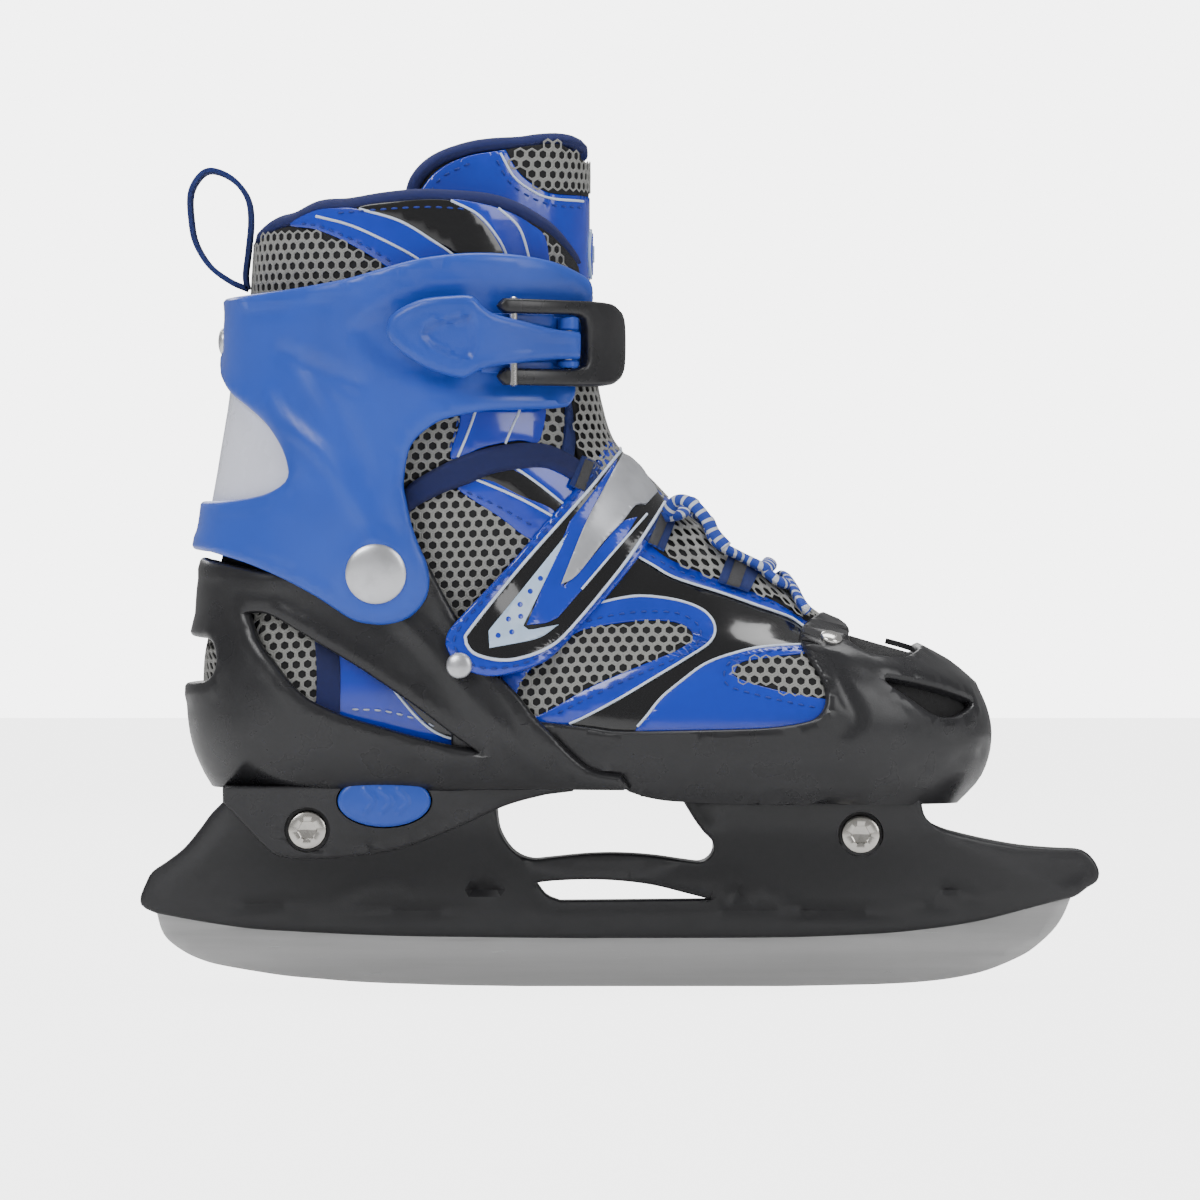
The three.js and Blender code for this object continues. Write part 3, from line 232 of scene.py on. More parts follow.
def distance_to_loops(points, loops):
    """Distance in 3-D of points to closed polylines."""
    best = np.full(len(points), 1e9)
    for loop in loops:
        a, b = loop, np.roll(loop, -1, axis=0)
        for k in range(0, len(a), 24):
            pa, pb = a[k:k + 24], b[k:k + 24]
            ab = pb - pa
            ap = points[:, None, :] - pa[None]
            t = np.clip((ap * ab).sum(-1) / np.maximum((ab * ab).sum(-1), 1e-9), 0, 1)
            d = np.linalg.norm(ap - t[..., None] * ab, axis=-1)
            best = np.minimum(best, d.min(1))
    return best


def inside(points, loop):
    """Which 2-D points lie inside a closed loop."""
    x, y = points[:, 0], points[:, 1]
    result = np.zeros(len(points), bool)
    x0, y0 = loop[:, 0], loop[:, 1]
    x1, y1 = np.roll(x0, -1), np.roll(y0, -1)
    for a, b, c, d in zip(x0, y0, x1, y1):
        if b == d:
            continue
        crossing = ((b > y) != (d > y)) & (x < (c - a) * (y - b) / (d - b) + a)
        result ^= crossing
    return result


TURN_MM = 52.0       # millimetres per radian of turn, for laying out places in the plane


def resample(loop, height, spacing):
    """A closed loop of places with about even spacing on its layer, keeping corners."""
    p = on_form(loop[:, 0], loop[:, 1], np.full(len(loop), height))
    out = []
    for i in range(len(loop)):
        j = (i + 1) % len(loop)
        gap = np.linalg.norm(p[j] - p[i])
        count = max(1, int(round(gap / spacing)))
        t = (np.arange(count) / count)[:, None]
        out.append(loop[i] + (loop[j] - loop[i]) * t)
    return np.concatenate(out)


def triangles(places, loops):
    """Triangulates flat places that begin with the points of the closed loops, keeping the loops' edges."""
    constraint, start = [], 0
    for loop in loops:
        constraint += [(start + i, start + (i + 1) % len(loop)) for i in range(len(loop))]
        start += len(loop)
    verts, _, faces, *_ = geometry.delaunay_2d_cdt([Vector(v) for v in places.tolist()], constraint, [], 1,
        1e-4)
    return np.array([[v.x, v.y] for v in verts]), np.array([f for f in faces if len(f) == 3])


def used_only(places, tri):
    """Drops the places that no triangle uses."""
    used = np.unique(tri)
    index = -np.ones(len(places), int)
    index[used] = np.arange(len(used))
    return places[used], index[tri]


def lay_sheet(loops, height, spacing, insets):
    """Triangulates the part of the form inside loops[0] and outside the others.
    Returns places (turn, level), triangles, distance of each place to the edge, and their 3-D points on the
    layer."""
    loops = [resample(loop, height, spacing * 0.8) for loop in loops]
    plane = [loop * [TURN_MM, 1] for loop in loops]
    edges3 = [on_form(loop[:, 0], loop[:, 1], np.full(len(loop), height)) for loop in loops]
    low, high = plane[0].min(0), plane[0].max(0)
    rows = np.arange(low[1] + spacing / 2, high[1], spacing)
    cloud = []
    for k, z in enumerate(rows):
        turns = np.linspace(low[0], high[0], 400) / TURN_MM
        p = on_form(turns, np.full(400, z), np.full(400, height))
        length = np.concatenate([[0], np.cumsum(np.linalg.norm(np.diff(p, axis=0), axis=1))])
        marks = np.arange(spacing * (0.25 + 0.5 * (k % 2)), length[-1], spacing)
        cloud.append(np.stack([np.interp(marks, length, turns), np.full(len(marks), z)], -1))
    cloud = np.concatenate(cloud) if cloud else np.zeros((0, 2))
    keep = inside(cloud * [TURN_MM, 1], plane[0])
    for hole in plane[1:]:
        keep &= ~inside(cloud * [TURN_MM, 1], hole)
    cloud = cloud[keep]
    reach = (insets[-1] if insets else 0) + spacing * 0.45
    p = on_form(cloud[:, 0], cloud[:, 1], np.full(len(cloud), height))
    cloud = cloud[distance_to_loops(p, edges3) > reach]
    rings = []
    for loop, e3 in zip(loops, edges3):
        tangent = np.roll(e3, -1, axis=0) - np.roll(e3, 1, axis=0)
        normal = form_normal(loop[:, 0], loop[:, 1])
        inward = np.cross(normal, tangent)
        inward /= np.maximum(np.linalg.norm(inward, axis=1, keepdims=True), 1e-9)
        du = (on_form(loop[:, 0] + 0.01, loop[:, 1], np.full(len(loop), height)) - e3) / 0.01
        dv = (on_form(loop[:, 0], loop[:, 1] + 0.1, np.full(len(loop), height)) - e3) / 0.1
        a, b, c = (du * du).sum(1), (du * dv).sum(1), (dv * dv).sum(1)
        e, f = (du * inward).sum(1), (dv * inward).sum(1)
        det = np.maximum(a * c - b * b, 1e-9)
        step = np.stack([(c * e - b * f) / det, (a * f - b * e) / det], -1)
        for sign in (1, -1):
            for inset in insets:
                ring = loop + sign * step * inset
                ok = inside(ring * [TURN_MM, 1], plane[0])
                for hole in plane[1:]:
                    ok &= ~inside(ring * [TURN_MM, 1], hole)
                ring = ring[ok]
                if len(ring):
                    r3 = on_form(ring[:, 0], ring[:, 1], np.full(len(ring), height))
                    rings.append(ring[distance_to_loops(r3, edges3) > inset * 0.85])
    places = np.concatenate([*loops, *rings, cloud])
    places, tri = triangles(places * [TURN_MM, 1], loops)
    places = places / [TURN_MM, 1]
    middle = places[tri].mean(1) * [TURN_MM, 1]
    keep = inside(middle, plane[0])
    for hole in plane[1:]:
        keep &= ~inside(middle, hole)
    tri = tri[keep]
    places, tri = used_only(places, tri)
    p = on_form(places[:, 0], places[:, 1], np.full(len(places), height))
    return places, tri, distance_to_loops(p, edges3), p


def boundary(tri):
    """Directed boundary edges of a triangle list."""
    edges = np.concatenate([tri[:, [0, 1]], tri[:, [1, 2]], tri[:, [2, 0]]])
    key = {(a, b) for a, b in edges.tolist()}
    return [(a, b) for a, b in edges.tolist() if (b, a) not in key]


def sheet(name, loops, low, high, material, spacing=2.4, rim=0.8, swell=None, bed=None, uv=None,
        under=False):
    """A closed piece of the form's layer from height low to high, with rounded outer edges.
    swell(x, z, edge, turn) adds to the outer height, bed(x, z, turn) to both faces.
    under rounds the inner face's edges too."""
    insets = [rim * s for s in (0.12, 0.4, 1.0)] if rim > 0 else []
    places, tri, edge, p = lay_sheet(loops, (low + high) / 2, spacing, insets)
    turn, level = places[:, 0], places[:, 1]
    lift = bed(p[:, 0], p[:, 2], turn) if bed else np.zeros(len(p))
    top = np.full(len(p), high, float)
    if rim > 0:
        s = np.clip(edge / rim, 0, 1)
        top -= rim * (1 - np.sqrt(np.clip(1 - (1 - s) ** 2, 0, 1)))
    top = np.maximum(top, low + 0.15 * (high - low))
    if swell:
        top += swell(p[:, 0], p[:, 2], edge, turn)
    bottom = np.full(len(p), low, float)
    if under and rim > 0:
        bottom += rim * (1 - np.sqrt(np.clip(1 - (1 - s) ** 2, 0, 1))) * 0.9
    outside = on_form(turn, level, top + lift)
    inner_face = on_form(turn, level, bottom + lift)
    n = len(p)
    a, b, c = outside[tri[:, 0]], outside[tri[:, 1]], outside[tri[:, 2]]
    face_n = np.cross(b - a, c - a)
    out_n = form_normal(turn[tri[:, 0]], level[tri[:, 0]])
    if (face_n * out_n).sum(1).sum() < 0:
        tri = tri[:, ::-1]
    faces = tri.tolist() + (tri[:, ::-1] + n).tolist()
    faces += [(b, a, a + n, b + n) for a, b in boundary(tri)]
    if uv is None:
        flat = np.stack([flat_length(turn, level), level], -1)
    else:
        flat = uv(p, turn, level)
    return new_object(name, np.concatenate([outside, inner_face]), faces, material, np.concatenate([flat,
        flat]))


_lengths = {}


def flat_length(turn, level):
    """Length round the form from the back, in millimetres, for laying out weaves."""
    if "table" not in _lengths:
        zs = np.arange(54, 262, 4.0)
        ts = np.linspace(-math.pi, 2 * math.pi, 361)
        grid = form(ts[None, :], np.repeat(zs[:, None], len(ts), 1))
        step = np.linalg.norm(np.diff(grid, axis=1), axis=2)
        total = np.concatenate([np.zeros((len(zs), 1)), np.cumsum(step, axis=1)], 1)
        total -= total[:, [np.argmin(abs(ts - math.pi / 2))]]
        _lengths["table"] = (zs, ts, total)
    zs, ts, total = _lengths["table"]
    iz = np.clip((level - zs[0]) / 4.0, 0, len(zs) - 1.001)
    it = np.clip((turn - ts[0]) / (ts[1] - ts[0]), 0, len(ts) - 1.001)
    z0, t0 = iz.astype(int), it.astype(int)
    fz, ft = iz - z0, it - t0
    return ((total[z0, t0] * (1 - ft) + total[z0, t0 + 1] * ft) * (1 - fz) + (total[z0 + 1, t0] * (1 - ft)
        + total[z0 + 1, t0 + 1] * ft) * fz)


def sweep(name, path, section, material, closed=False, up=None, caps=True):
    """Sweeps a closed section (across, up) along a 3-D path. up: a normal at each path point."""
    path = np.asarray(path, float)
    n, m = len(path), len(section)
    nxt = np.roll(path, -1, axis=0) if closed else np.concatenate([path[1:], 2 * path[-1:] - path[-2:-1]])
    prv = np.roll(path, 1, axis=0) if closed else np.concatenate([2 * path[:1] - path[1:2], path[:-1]])
    along = nxt - prv
    along /= np.maximum(np.linalg.norm(along, axis=1, keepdims=True), 1e-9)
    if up is None:
        up = np.tile([0.0, -1.0, 0.0], (n, 1))
    up = np.asarray(up, float)
    up = up - (up * along).sum(1, keepdims=True) * along
    up /= np.maximum(np.linalg.norm(up, axis=1, keepdims=True), 1e-9)
    across = np.cross(along, up)
    section = np.asarray(section, float)
    pts = (path[:, None] + across[:, None] * section[None, :, :1] + up[:, None] * section[None, :, 1:2])
    points = pts.reshape(-1, 3)
    faces = []
    for i in range(n if closed else n - 1):
        j = (i + 1) % n
        for k in range(m):
            l = (k + 1) % m
            faces.append((i * m + k, i * m + l, j * m + l, j * m + k))
    if not closed and caps:
        faces.append(tuple(range(m))[::-1])
        faces.append(tuple((n - 1) * m + k for k in range(m)))
    length = np.concatenate([[0], np.cumsum(np.linalg.norm(np.diff(path, axis=0), axis=1))])
    uvs = np.stack([np.repeat(length, m), np.tile(np.arange(m) / m, n)], -1)
    return new_object(name, points, faces, material, uvs, autosmooth=60)


def circle(radius, sides=10, flat=1.0):
    a = np.arange(sides) * 2 * math.pi / sides
    return np.stack([np.cos(a) * radius, np.sin(a) * radius * flat], -1)


def line_on(points, height, side=OUTER, step=1.2, closed=False):
    """A side-view line laid on the form: 3-D points and normals."""
    pts = curve_through(points, step, closed) if not isinstance(points, np.ndarray) else points
    if callable(height):
        height = height(pts[:, 0], pts[:, 1])
    turn, level = turn_at(pts[:, 0], pts[:, 1], height, side)
    h = np.zeros(len(turn)) + height
    return on_form(turn, level, h), form_normal(turn, level)


def girth_table():
    """Length up the side of the form at each station x, for laying out weaves on the foot."""
    if "girth" not in _lengths:
        xs = np.arange(-130, 112, 2.0)
        zs = np.arange(56, 182, 2.0)
        gx, gz = np.meshgrid(xs, zs)
        across = ramp(-62, 18, gx)
        half = heel_half(gz) * (1 - across) + fore_half(gz) * across
        half = half * round_end((gx - back_line(gz)) / back_round(gz))
        half = half * round_end((front_line(gz) - gx) / front_round(gz))
        step = np.hypot(np.diff(half, axis=0), 2.0)
        _lengths["girth"] = (xs, zs, np.concatenate([np.zeros((1, len(xs))), np.cumsum(step, axis=0)]))
    return _lengths["girth"]


def foot_flat(turn, level):
    """Flat coordinates of places on the foot: x and the length up the side."""
    xs, zs, total = girth_table()
    x = form(turn, level)[..., 0]
    ix = np.clip((x - xs[0]) / 2.0, 0, len(xs) - 1.001)
    iz = np.clip((level - zs[0]) / 2.0, 0, len(zs) - 1.001)
    x0, z0 = ix.astype(int), iz.astype(int)
    fx, fz = ix - x0, iz - z0
    v = ((total[z0, x0] * (1 - fx) + total[z0, x0 + 1] * fx) * (1 - fz) + (total[z0 + 1, x0] * (1 - fx)
        + total[z0 + 1, x0 + 1] * fx) * fz)
    return np.stack([x, v], -1)


def shaft_flat(turn, level):
    return np.stack([flat_length(turn, level), np.asarray(level, float)], -1)


def net(name, outline, height, material, flat, hole=0.34, yarn=0.5):
    """An open knitted net of rounded six-sided holes over the places inside an outline."""
    pitch = bpy.context.scene.skate.net_pitch / MM
    low, high = outline.min(0), outline.max(0)
    gt, gl = np.meshgrid(np.linspace(low[0], high[0], 70), np.linspace(low[1], high[1], 70))
    gt, gl = gt.ravel(), gl.ravel()
    flat_grid = flat(gt, gl)
    lo, hi = flat_grid.min(0), flat_grid.max(0)
    row = pitch * math.sqrt(3) / 2
    centres = []
    for k in range(int((hi[1] - lo[1]) / row) + 2):
        for i in range(int((hi[0] - lo[0]) / pitch) + 2):
            centres.append((lo[0] + (i + 0.5 * (k % 2)) * pitch, lo[1] + k * row))
    centres = np.array(centres)

    def place(uv, near=None):
        if near is None:
            near = np.array([np.argmin(((flat_grid - c) ** 2).sum(1)) for c in uv])
        turn, level = gt[near].copy(), gl[near].copy()
        for _ in range(4):
            now = flat(turn, level)
            du = (flat(turn + 0.004, level) - now) / 0.004
            dv = (flat(turn, level + 0.2) - now) / 0.2
            miss = uv - now
            det = du[:, 0] * dv[:, 1] - du[:, 1] * dv[:, 0]
            det = np.where(abs(det) < 1e-6, 1e-6, det)
            turn += np.clip((miss[:, 0] * dv[:, 1] - miss[:, 1] * dv[:, 0]) / det, -0.2, 0.2)
            level += np.clip((du[:, 0] * miss[:, 1] - du[:, 1] * miss[:, 0]) / det, -6, 6)
        return turn, level, near

    turn, level, near = place(centres)
    missed = np.linalg.norm(flat(turn, level) - centres, axis=1) > 0.2
    keep = inside(np.stack([turn, level], -1) * [TURN_MM, 1], outline * [TURN_MM, 1]) & ~missed
    centres, near = centres[keep], near[keep]
    if not len(centres):
        return None
    angle = np.arange(12) * math.pi / 6 + math.pi / 6
    corner = pitch / math.sqrt(3)
    outer = np.where(np.isclose(np.cos(3 * (angle - math.pi / 6)) ** 2, 1), corner, pitch / 2)
    inner = pitch * hole * (1 + 0.06 * np.cos(6 * (angle - math.pi / 6)))
    rings = [(outer, 0.55), ((outer + inner) / 2, 1.0), (inner, 0.55), (inner * 1.05, 0.0)]
    count = len(centres)
    points = []
    for radius, lift in rings:
        uv = centres[:, None] + np.stack([np.cos(angle) * radius, np.sin(angle) * radius], -1)[None]
        t, l, _ = place(uv.reshape(-1, 2), np.repeat(near, 12))
        points.append(on_form(t, l, np.full(len(t), height + yarn * lift)).reshape(count, 12, 3))
    points = np.stack(points, 1).reshape(-1, 3)
    faces = []
    for c in range(count):
        base = c * 48
        for r in range(3):
            for k in range(12):
                l = (k + 1) % 12
                a, b = base + r * 12 + k, base + r * 12 + l
                faces.append((a, b, b + 12, a + 12))
    return new_object(name, points, faces, material, autosmooth=80)


def stitches(name, points, height, material, side=OUTER, length=2.0, gap=1.3, radius=0.32, width=None):
    """A row of thread stitches along a side-view line."""
    path = line_on(points, height, side, 0.6)[0] if width is None else points
    normal = line_on(points, height, side, 0.6)[1] if width is None else width
    run = np.concatenate([[0], np.cumsum(np.linalg.norm(np.diff(path, axis=0), axis=1))])
    starts = np.arange(gap / 2, run[-1] - length, length + gap)
    verts, faces = [], []
    shape = [(0.0, 0.25, -0.6), (0.15, 0.8, 0.2), (0.5, 1.0, 0.75), (0.85, 0.8, 0.2), (1.0, 0.25, -0.6)]
    for s in starts:
        marks = s + np.array([f for f, _, _ in shape]) * length
        p = np.stack([np.interp(marks, run, path[:, k]) for k in range(3)], -1)
        n = np.stack([np.interp(marks, run, normal[:, k]) for k in range(3)], -1)
        n /= np.linalg.norm(n, axis=1, keepdims=True)
        along = p[-1] - p[0]
        along /= max(np.linalg.norm(along), 1e-9)
        across = np.cross(along, n)
        base = len(verts)
        for k, (_, wide, lift) in enumerate(shape):
            for j in range(6):
                a = j * math.pi / 3
                verts.append(p[k] + n[k] * radius * (lift + math.sin(a) * wide) + across[k] * radius
                    * math.cos(a) * wide)
        for k in range(4):
            for j in range(6):
                l = (j + 1) % 6
                faces.append((base + k * 6 + j, base + k * 6 + l, base + k * 6 + 6 + l, base + k * 6 + 6 + j))
        faces.append(tuple(base + j for j in range(6))[::-1])
        faces.append(tuple(base + 24 + j for j in range(6)))
    return new_object(name, np.array(verts), faces, material)


def piping(name, points, height, material, side=OUTER, radius=0.55, tall=1.0):
    """A fine raised line along a side-view line."""
    path, normal = line_on(points, height, side)
    return sweep(name, path, circle(radius, 8, tall), material, up=normal)


def plate(name, loops, half, material, spacing=3.0, rim=1.0, creases=()):
    """A solid either side of the blade's plane over a side-view outline.
    half(x, z, edge, side) is its half breadth there; creases are closed loops where it steps."""
    loops = [np.asarray(loop, float) for loop in loops]
    rings = [*loops]
    inner_rings = []
    for loop in [*loops, *creases]:
        nxt, prv = np.roll(loop, -1, axis=0), np.roll(loop, 1, axis=0)
        t = nxt - prv
        n = np.stack([-t[:, 1], t[:, 0]], -1)
        n /= np.maximum(np.linalg.norm(n, axis=1, keepdims=True), 1e-9)
        for inset in (rim * 0.12, rim * 0.4, rim):
            for sign in (1, -1):
                inner_rings.append(loop + n * sign * inset)
    low, high = loops[0].min(0), loops[0].max(0)
    cloud = []
    for k, z in enumerate(np.arange(low[1], high[1], spacing * 0.87)):
        xs = np.arange(low[0] + (k % 2) * spacing / 2, high[0], spacing)
        cloud.append(np.stack([xs, np.full(len(xs), z)], -1))
    cloud = np.concatenate(cloud)

    def within(p):
        ok = inside(p, loops[0])
        for hole in loops[1:]:
            ok &= ~inside(p, hole)
        return ok

    def edge_of(p, of):
        q = np.concatenate([p, np.zeros((len(p), 1))], 1)
        return distance_to_loops(q, [np.concatenate([r, np.zeros((len(r), 1))], 1) for r in of])

    cloud = cloud[within(cloud)]
    cloud = cloud[edge_of(cloud, [*loops, *creases]) > rim + spacing * 0.4]
    extra = np.concatenate(inner_rings)
    extra = extra[within(extra)]
    extra = extra[edge_of(extra, [*loops, *creases]) > rim * 0.1]
    rings += [np.asarray(c, float) for c in creases]
    places = np.concatenate([*rings, extra, cloud])
    places, tri = triangles(places, rings)
    tri = tri[within(places[tri].mean(1))]
    places, tri = used_only(places, tri)
    edge = edge_of(places, loops)
    s = np.clip(edge / max(rim, 1e-6), 0, 1)
    drop = rim * (1 - np.sqrt(np.clip(1 - (1 - s) ** 2, 0, 1)))
    sides = []
    for side in (-1, 1):
        y = np.maximum(half(places[:, 0], places[:, 1], edge, side) - drop, 0.3)
        sides.append(np.stack([places[:, 0], side * y, places[:, 1]], -1))
    n = len(places)
    a, b, c = places[tri[:, 0]], places[tri[:, 1]], places[tri[:, 2]]
    area = (b[:, 0] - a[:, 0]) * (c[:, 1] - a[:, 1]) - (b[:, 1] - a[:, 1]) * (c[:, 0] - a[:, 0])
    tri = np.where(area[:, None] < 0, tri[:, ::-1], tri)
    faces = tri.tolist() + (tri[:, ::-1] + n).tolist()
    faces += [(b, a, a + n, b + n) for a, b in boundary(tri)]
    uvs = np.concatenate([places, places])
    return new_object(name, np.concatenate(sides), faces, material, uvs, autosmooth=35)


def lathe(name, profile, at, axis, material, sides=40):
    """Turns a profile of (radius, height) about an axis; a third value makes that ring six-sided."""
    axis = np.asarray(axis, float) / np.linalg.norm(axis)
    helper = np.array([0, 0, 1.0]) if abs(axis[2]) < 0.9 else np.array([1.0, 0, 0])
    u = np.cross(helper, axis)
    u /= np.linalg.norm(u)
    v = np.cross(axis, u)
    points, faces = [], []
    for r, h, *flag in profile:
        for k in range(sides):
            a = 2 * math.pi * k / sides
            radius = r
            if flag:
                radius = r / math.cos((a % (math.pi / 3)) - math.pi / 6)
            points.append(np.asarray(at, float) + axis * h + (u * math.cos(a) + v * math.sin(a)) * radius)
    rows = len(profile)
    for i in range(rows - 1):
        for k in range(sides):
            l = (k + 1) % sides
            faces.append((i * sides + k, i * sides + l, (i + 1) * sides + l, (i + 1) * sides + k))
    faces.append(tuple(range(sides))[::-1])
    faces.append(tuple((rows - 1) * sides + k for k in range(sides)))
    return new_object(name, np.array(points), faces, material, autosmooth=35)


def dome_profile(radius, height, base=-0.6):
    """A rivet head: a short wall under a rounded top."""
    steps = [(radius * 0.96, base), (radius, 0.0)]
    for k in range(1, 9):
        a = k * math.pi / 18
        steps.append((radius * math.cos(a), height * (0.15 + 0.85 * math.sin(a))))
    steps.append((radius * 0.03, height))
    return steps


# ---------------------------------------------------------------- finishes
class Field:
    """A value that varies over a surface, with arithmetic."""

    def __init__(self, tree, socket):
        self.tree = tree
        self.socket = socket

    def maths(self, operation, *values, **settings):
        node = self.tree.nodes.new("ShaderNodeMath")
        node.operation = operation
        for key, value in settings.items():
            setattr(node, key, value)
        for pin, value in zip(node.inputs, values):
            if isinstance(value, Field):
                self.tree.links.new(value.socket, pin)
            else:
                pin.default_value = value
        return Field(self.tree, node.outputs[0])

    def __add__(self, other):
        return self.maths("ADD", self, other)

    def __radd__(self, other):
        return self.maths("ADD", other, self)

    def __sub__(self, other):
        return self.maths("SUBTRACT", self, other)

    def __rsub__(self, other):
        return self.maths("SUBTRACT", other, self)

    def __mul__(self, other):
        return self.maths("MULTIPLY", self, other)

    def __rmul__(self, other):
        return self.maths("MULTIPLY", other, self)

    def __truediv__(self, other):
        return self.maths("DIVIDE", self, other)

    def __rtruediv__(self, other):
        return self.maths("DIVIDE", other, self)

    def band(self, low, high):
        """0 below low, 1 above high, smooth between."""
        node = self.tree.nodes.new("ShaderNodeMapRange")
        node.interpolation_type = "SMOOTHSTEP"
        self.tree.links.new(self.socket, node.inputs[0])
        node.inputs[1].default_value = low
        node.inputs[2].default_value = high
        return Field(self.tree, node.outputs[0])


class Finish:
    """A material on one Principled shader, with its constants set at once."""

    def __init__(self, name, colour, roughness, **constants):
        self.material = bpy.data.materials.new(name)
        self.material.use_nodes = True
        self.tree = self.material.node_tree
        self.shader = self.tree.nodes["Principled BSDF"]
        self.colour = (*colour[:3], 1)
        self.shader.inputs["Base Color"].default_value = self.colour
        self.shader.inputs["Roughness"].default_value = roughness
        self.material.diffuse_color = self.colour
        self.roughness = roughness
        for key, value in constants.items():
            self.shader.inputs[key.replace("_", " ")].default_value = value

    def node(self, kind, settings=None, output=0, **values):
        node = self.tree.nodes.new(kind)
        for key, value in (settings or {}).items():
            setattr(node, key, value)
        for key, value in values.items():
            pin = node.inputs[key.replace("_", " ")]
            if isinstance(value, Field):
                self.tree.links.new(value.socket, pin)
            else:
                pin.default_value = value
        return Field(self.tree, node.outputs[output])

    def place(self, source="Object", scale=(1, 1, 1)):
        where = self.node("ShaderNodeTexCoord", output=source)
        return self.node("ShaderNodeMapping", Vector=where, Scale=scale)

    def noise(self, scale, detail=3.0, stretch=(1, 1, 1), source="Object"):
        return self.node("ShaderNodeTexNoise", Vector=self.place(source, stretch), Scale=scale, Detail=detail)

    def wave(self, scale, stretch=(1, 1, 1), source="UV", turn=0.0, distortion=0.0):
        where = self.node("ShaderNodeTexCoord", output=source)
        where = self.node("ShaderNodeMapping", Vector=where, Scale=stretch, Rotation=(0, 0, turn))
        return self.node("ShaderNodeTexWave", Vector=where, Scale=scale, Distortion=distortion)

    def mix(self, amount, first, second):
        node = self.tree.nodes.new("ShaderNodeMix")
        node.data_type = "RGBA"
        for pin, value in ((node.inputs[0], amount), (node.inputs[6], first), (node.inputs[7], second)):
            if isinstance(value, Field):
                self.tree.links.new(value.socket, pin)
            else:
                pin.default_value = value
        return Field(self.tree, node.outputs[2])

    def feed(self, pin, field):
        self.tree.links.new(field.socket, self.shader.inputs[pin])
        return self

    def bump(self, height, distance, strength=1.0):
        node = self.node("ShaderNodeBump", Height=height, Distance=distance, Strength=strength)
        return self.feed("Normal", node)

    def shade(self, colour, amount):
        """Mixes another colour in by an amount that varies."""
        return self.feed("Base Color", self.mix(amount, self.colour, (*colour[:3], 1)))

    def polish(self, amount, low, high):
        return self.feed("Roughness", amount * (high - low) + low)


def darker(colour, share):
    return tuple(c * share for c in colour[:3])


def moulded(name, colour, roughness, grain=0.00004, **constants):
    """Injection-moulded plastic: faint grain, slight unevenness of colour and gloss."""
    finish = Finish(name, colour, roughness, **constants)
    cloudy = finish.noise(28, 3)
    finish.shade(darker(colour, 0.84), cloudy.band(0.35, 0.75))
    finish.polish(finish.noise(90, 4).band(0.3, 0.75), roughness - 0.05, roughness + 0.07)
    finish.bump(finish.noise(1900, 2), grain, 0.6)
    return finish.material


def patent(name, colour):
    """Coated synthetic with a high gloss and a soft orange-peel surface."""
    finish = Finish(name, colour, 0.16, Coat_Weight=0.7, Coat_Roughness=0.08)
    finish.shade(darker(colour, 0.75), finish.noise(45, 3).band(0.4, 0.75))
    finish.bump(finish.noise(420, 3) + finish.noise(90, 2) * 1.6, 0.00006, 0.55)
    return finish.material


def twill(name, colour, pitch=0.9):
    """Twill or knitted tape with slanting ribs."""
    finish = Finish(name, colour, 0.85, Sheen_Weight=0.06)
    ribs = finish.wave(1 / pitch / 0.32, source="UV", turn=0.85, distortion=0.6)
    finish.shade(darker(colour, 0.42), 1 - ribs.band(0.2, 0.7))
    finish.bump(ribs + finish.noise(1400, 3) * 0.6, 0.00028, 0.9)
    return finish.material


def brushed(name, colour, roughness, stretch):
    finish = Finish(name, colour, roughness, Metallic=1.0)
    lines = finish.noise(260, 5, stretch)
    finish.polish(lines.band(0.25, 0.75), roughness - 0.07, roughness + 0.12)
    finish.shade(darker(colour, 0.78), finish.noise(22, 4, stretch).band(0.4, 0.8))
    finish.bump(lines, 0.00003, 0.5)
    return finish.material


def plain(name, colour, roughness, scale=300, depth=0.00004, **constants):
    finish = Finish(name, colour, roughness, **constants)
    finish.shade(darker(colour, 0.8), finish.noise(scale * 0.2, 3).band(0.35, 0.8))
    finish.bump(finish.noise(scale, 3), depth, 0.6)
    return finish.material


# ---------------------------------------------------------------- looks
BLUE = (0.022, 0.085, 0.52)
PATENT_BLUE = (0.008, 0.04, 0.5)
SHELL_BLACK = (0.018, 0.018, 0.02)
TWILL_BLUE = (0.016, 0.035, 0.28)
WHITE_LINE = (0.72, 0.8, 0.95)
PALE_PRINT = (0.55, 0.72, 0.95)
looks = {}


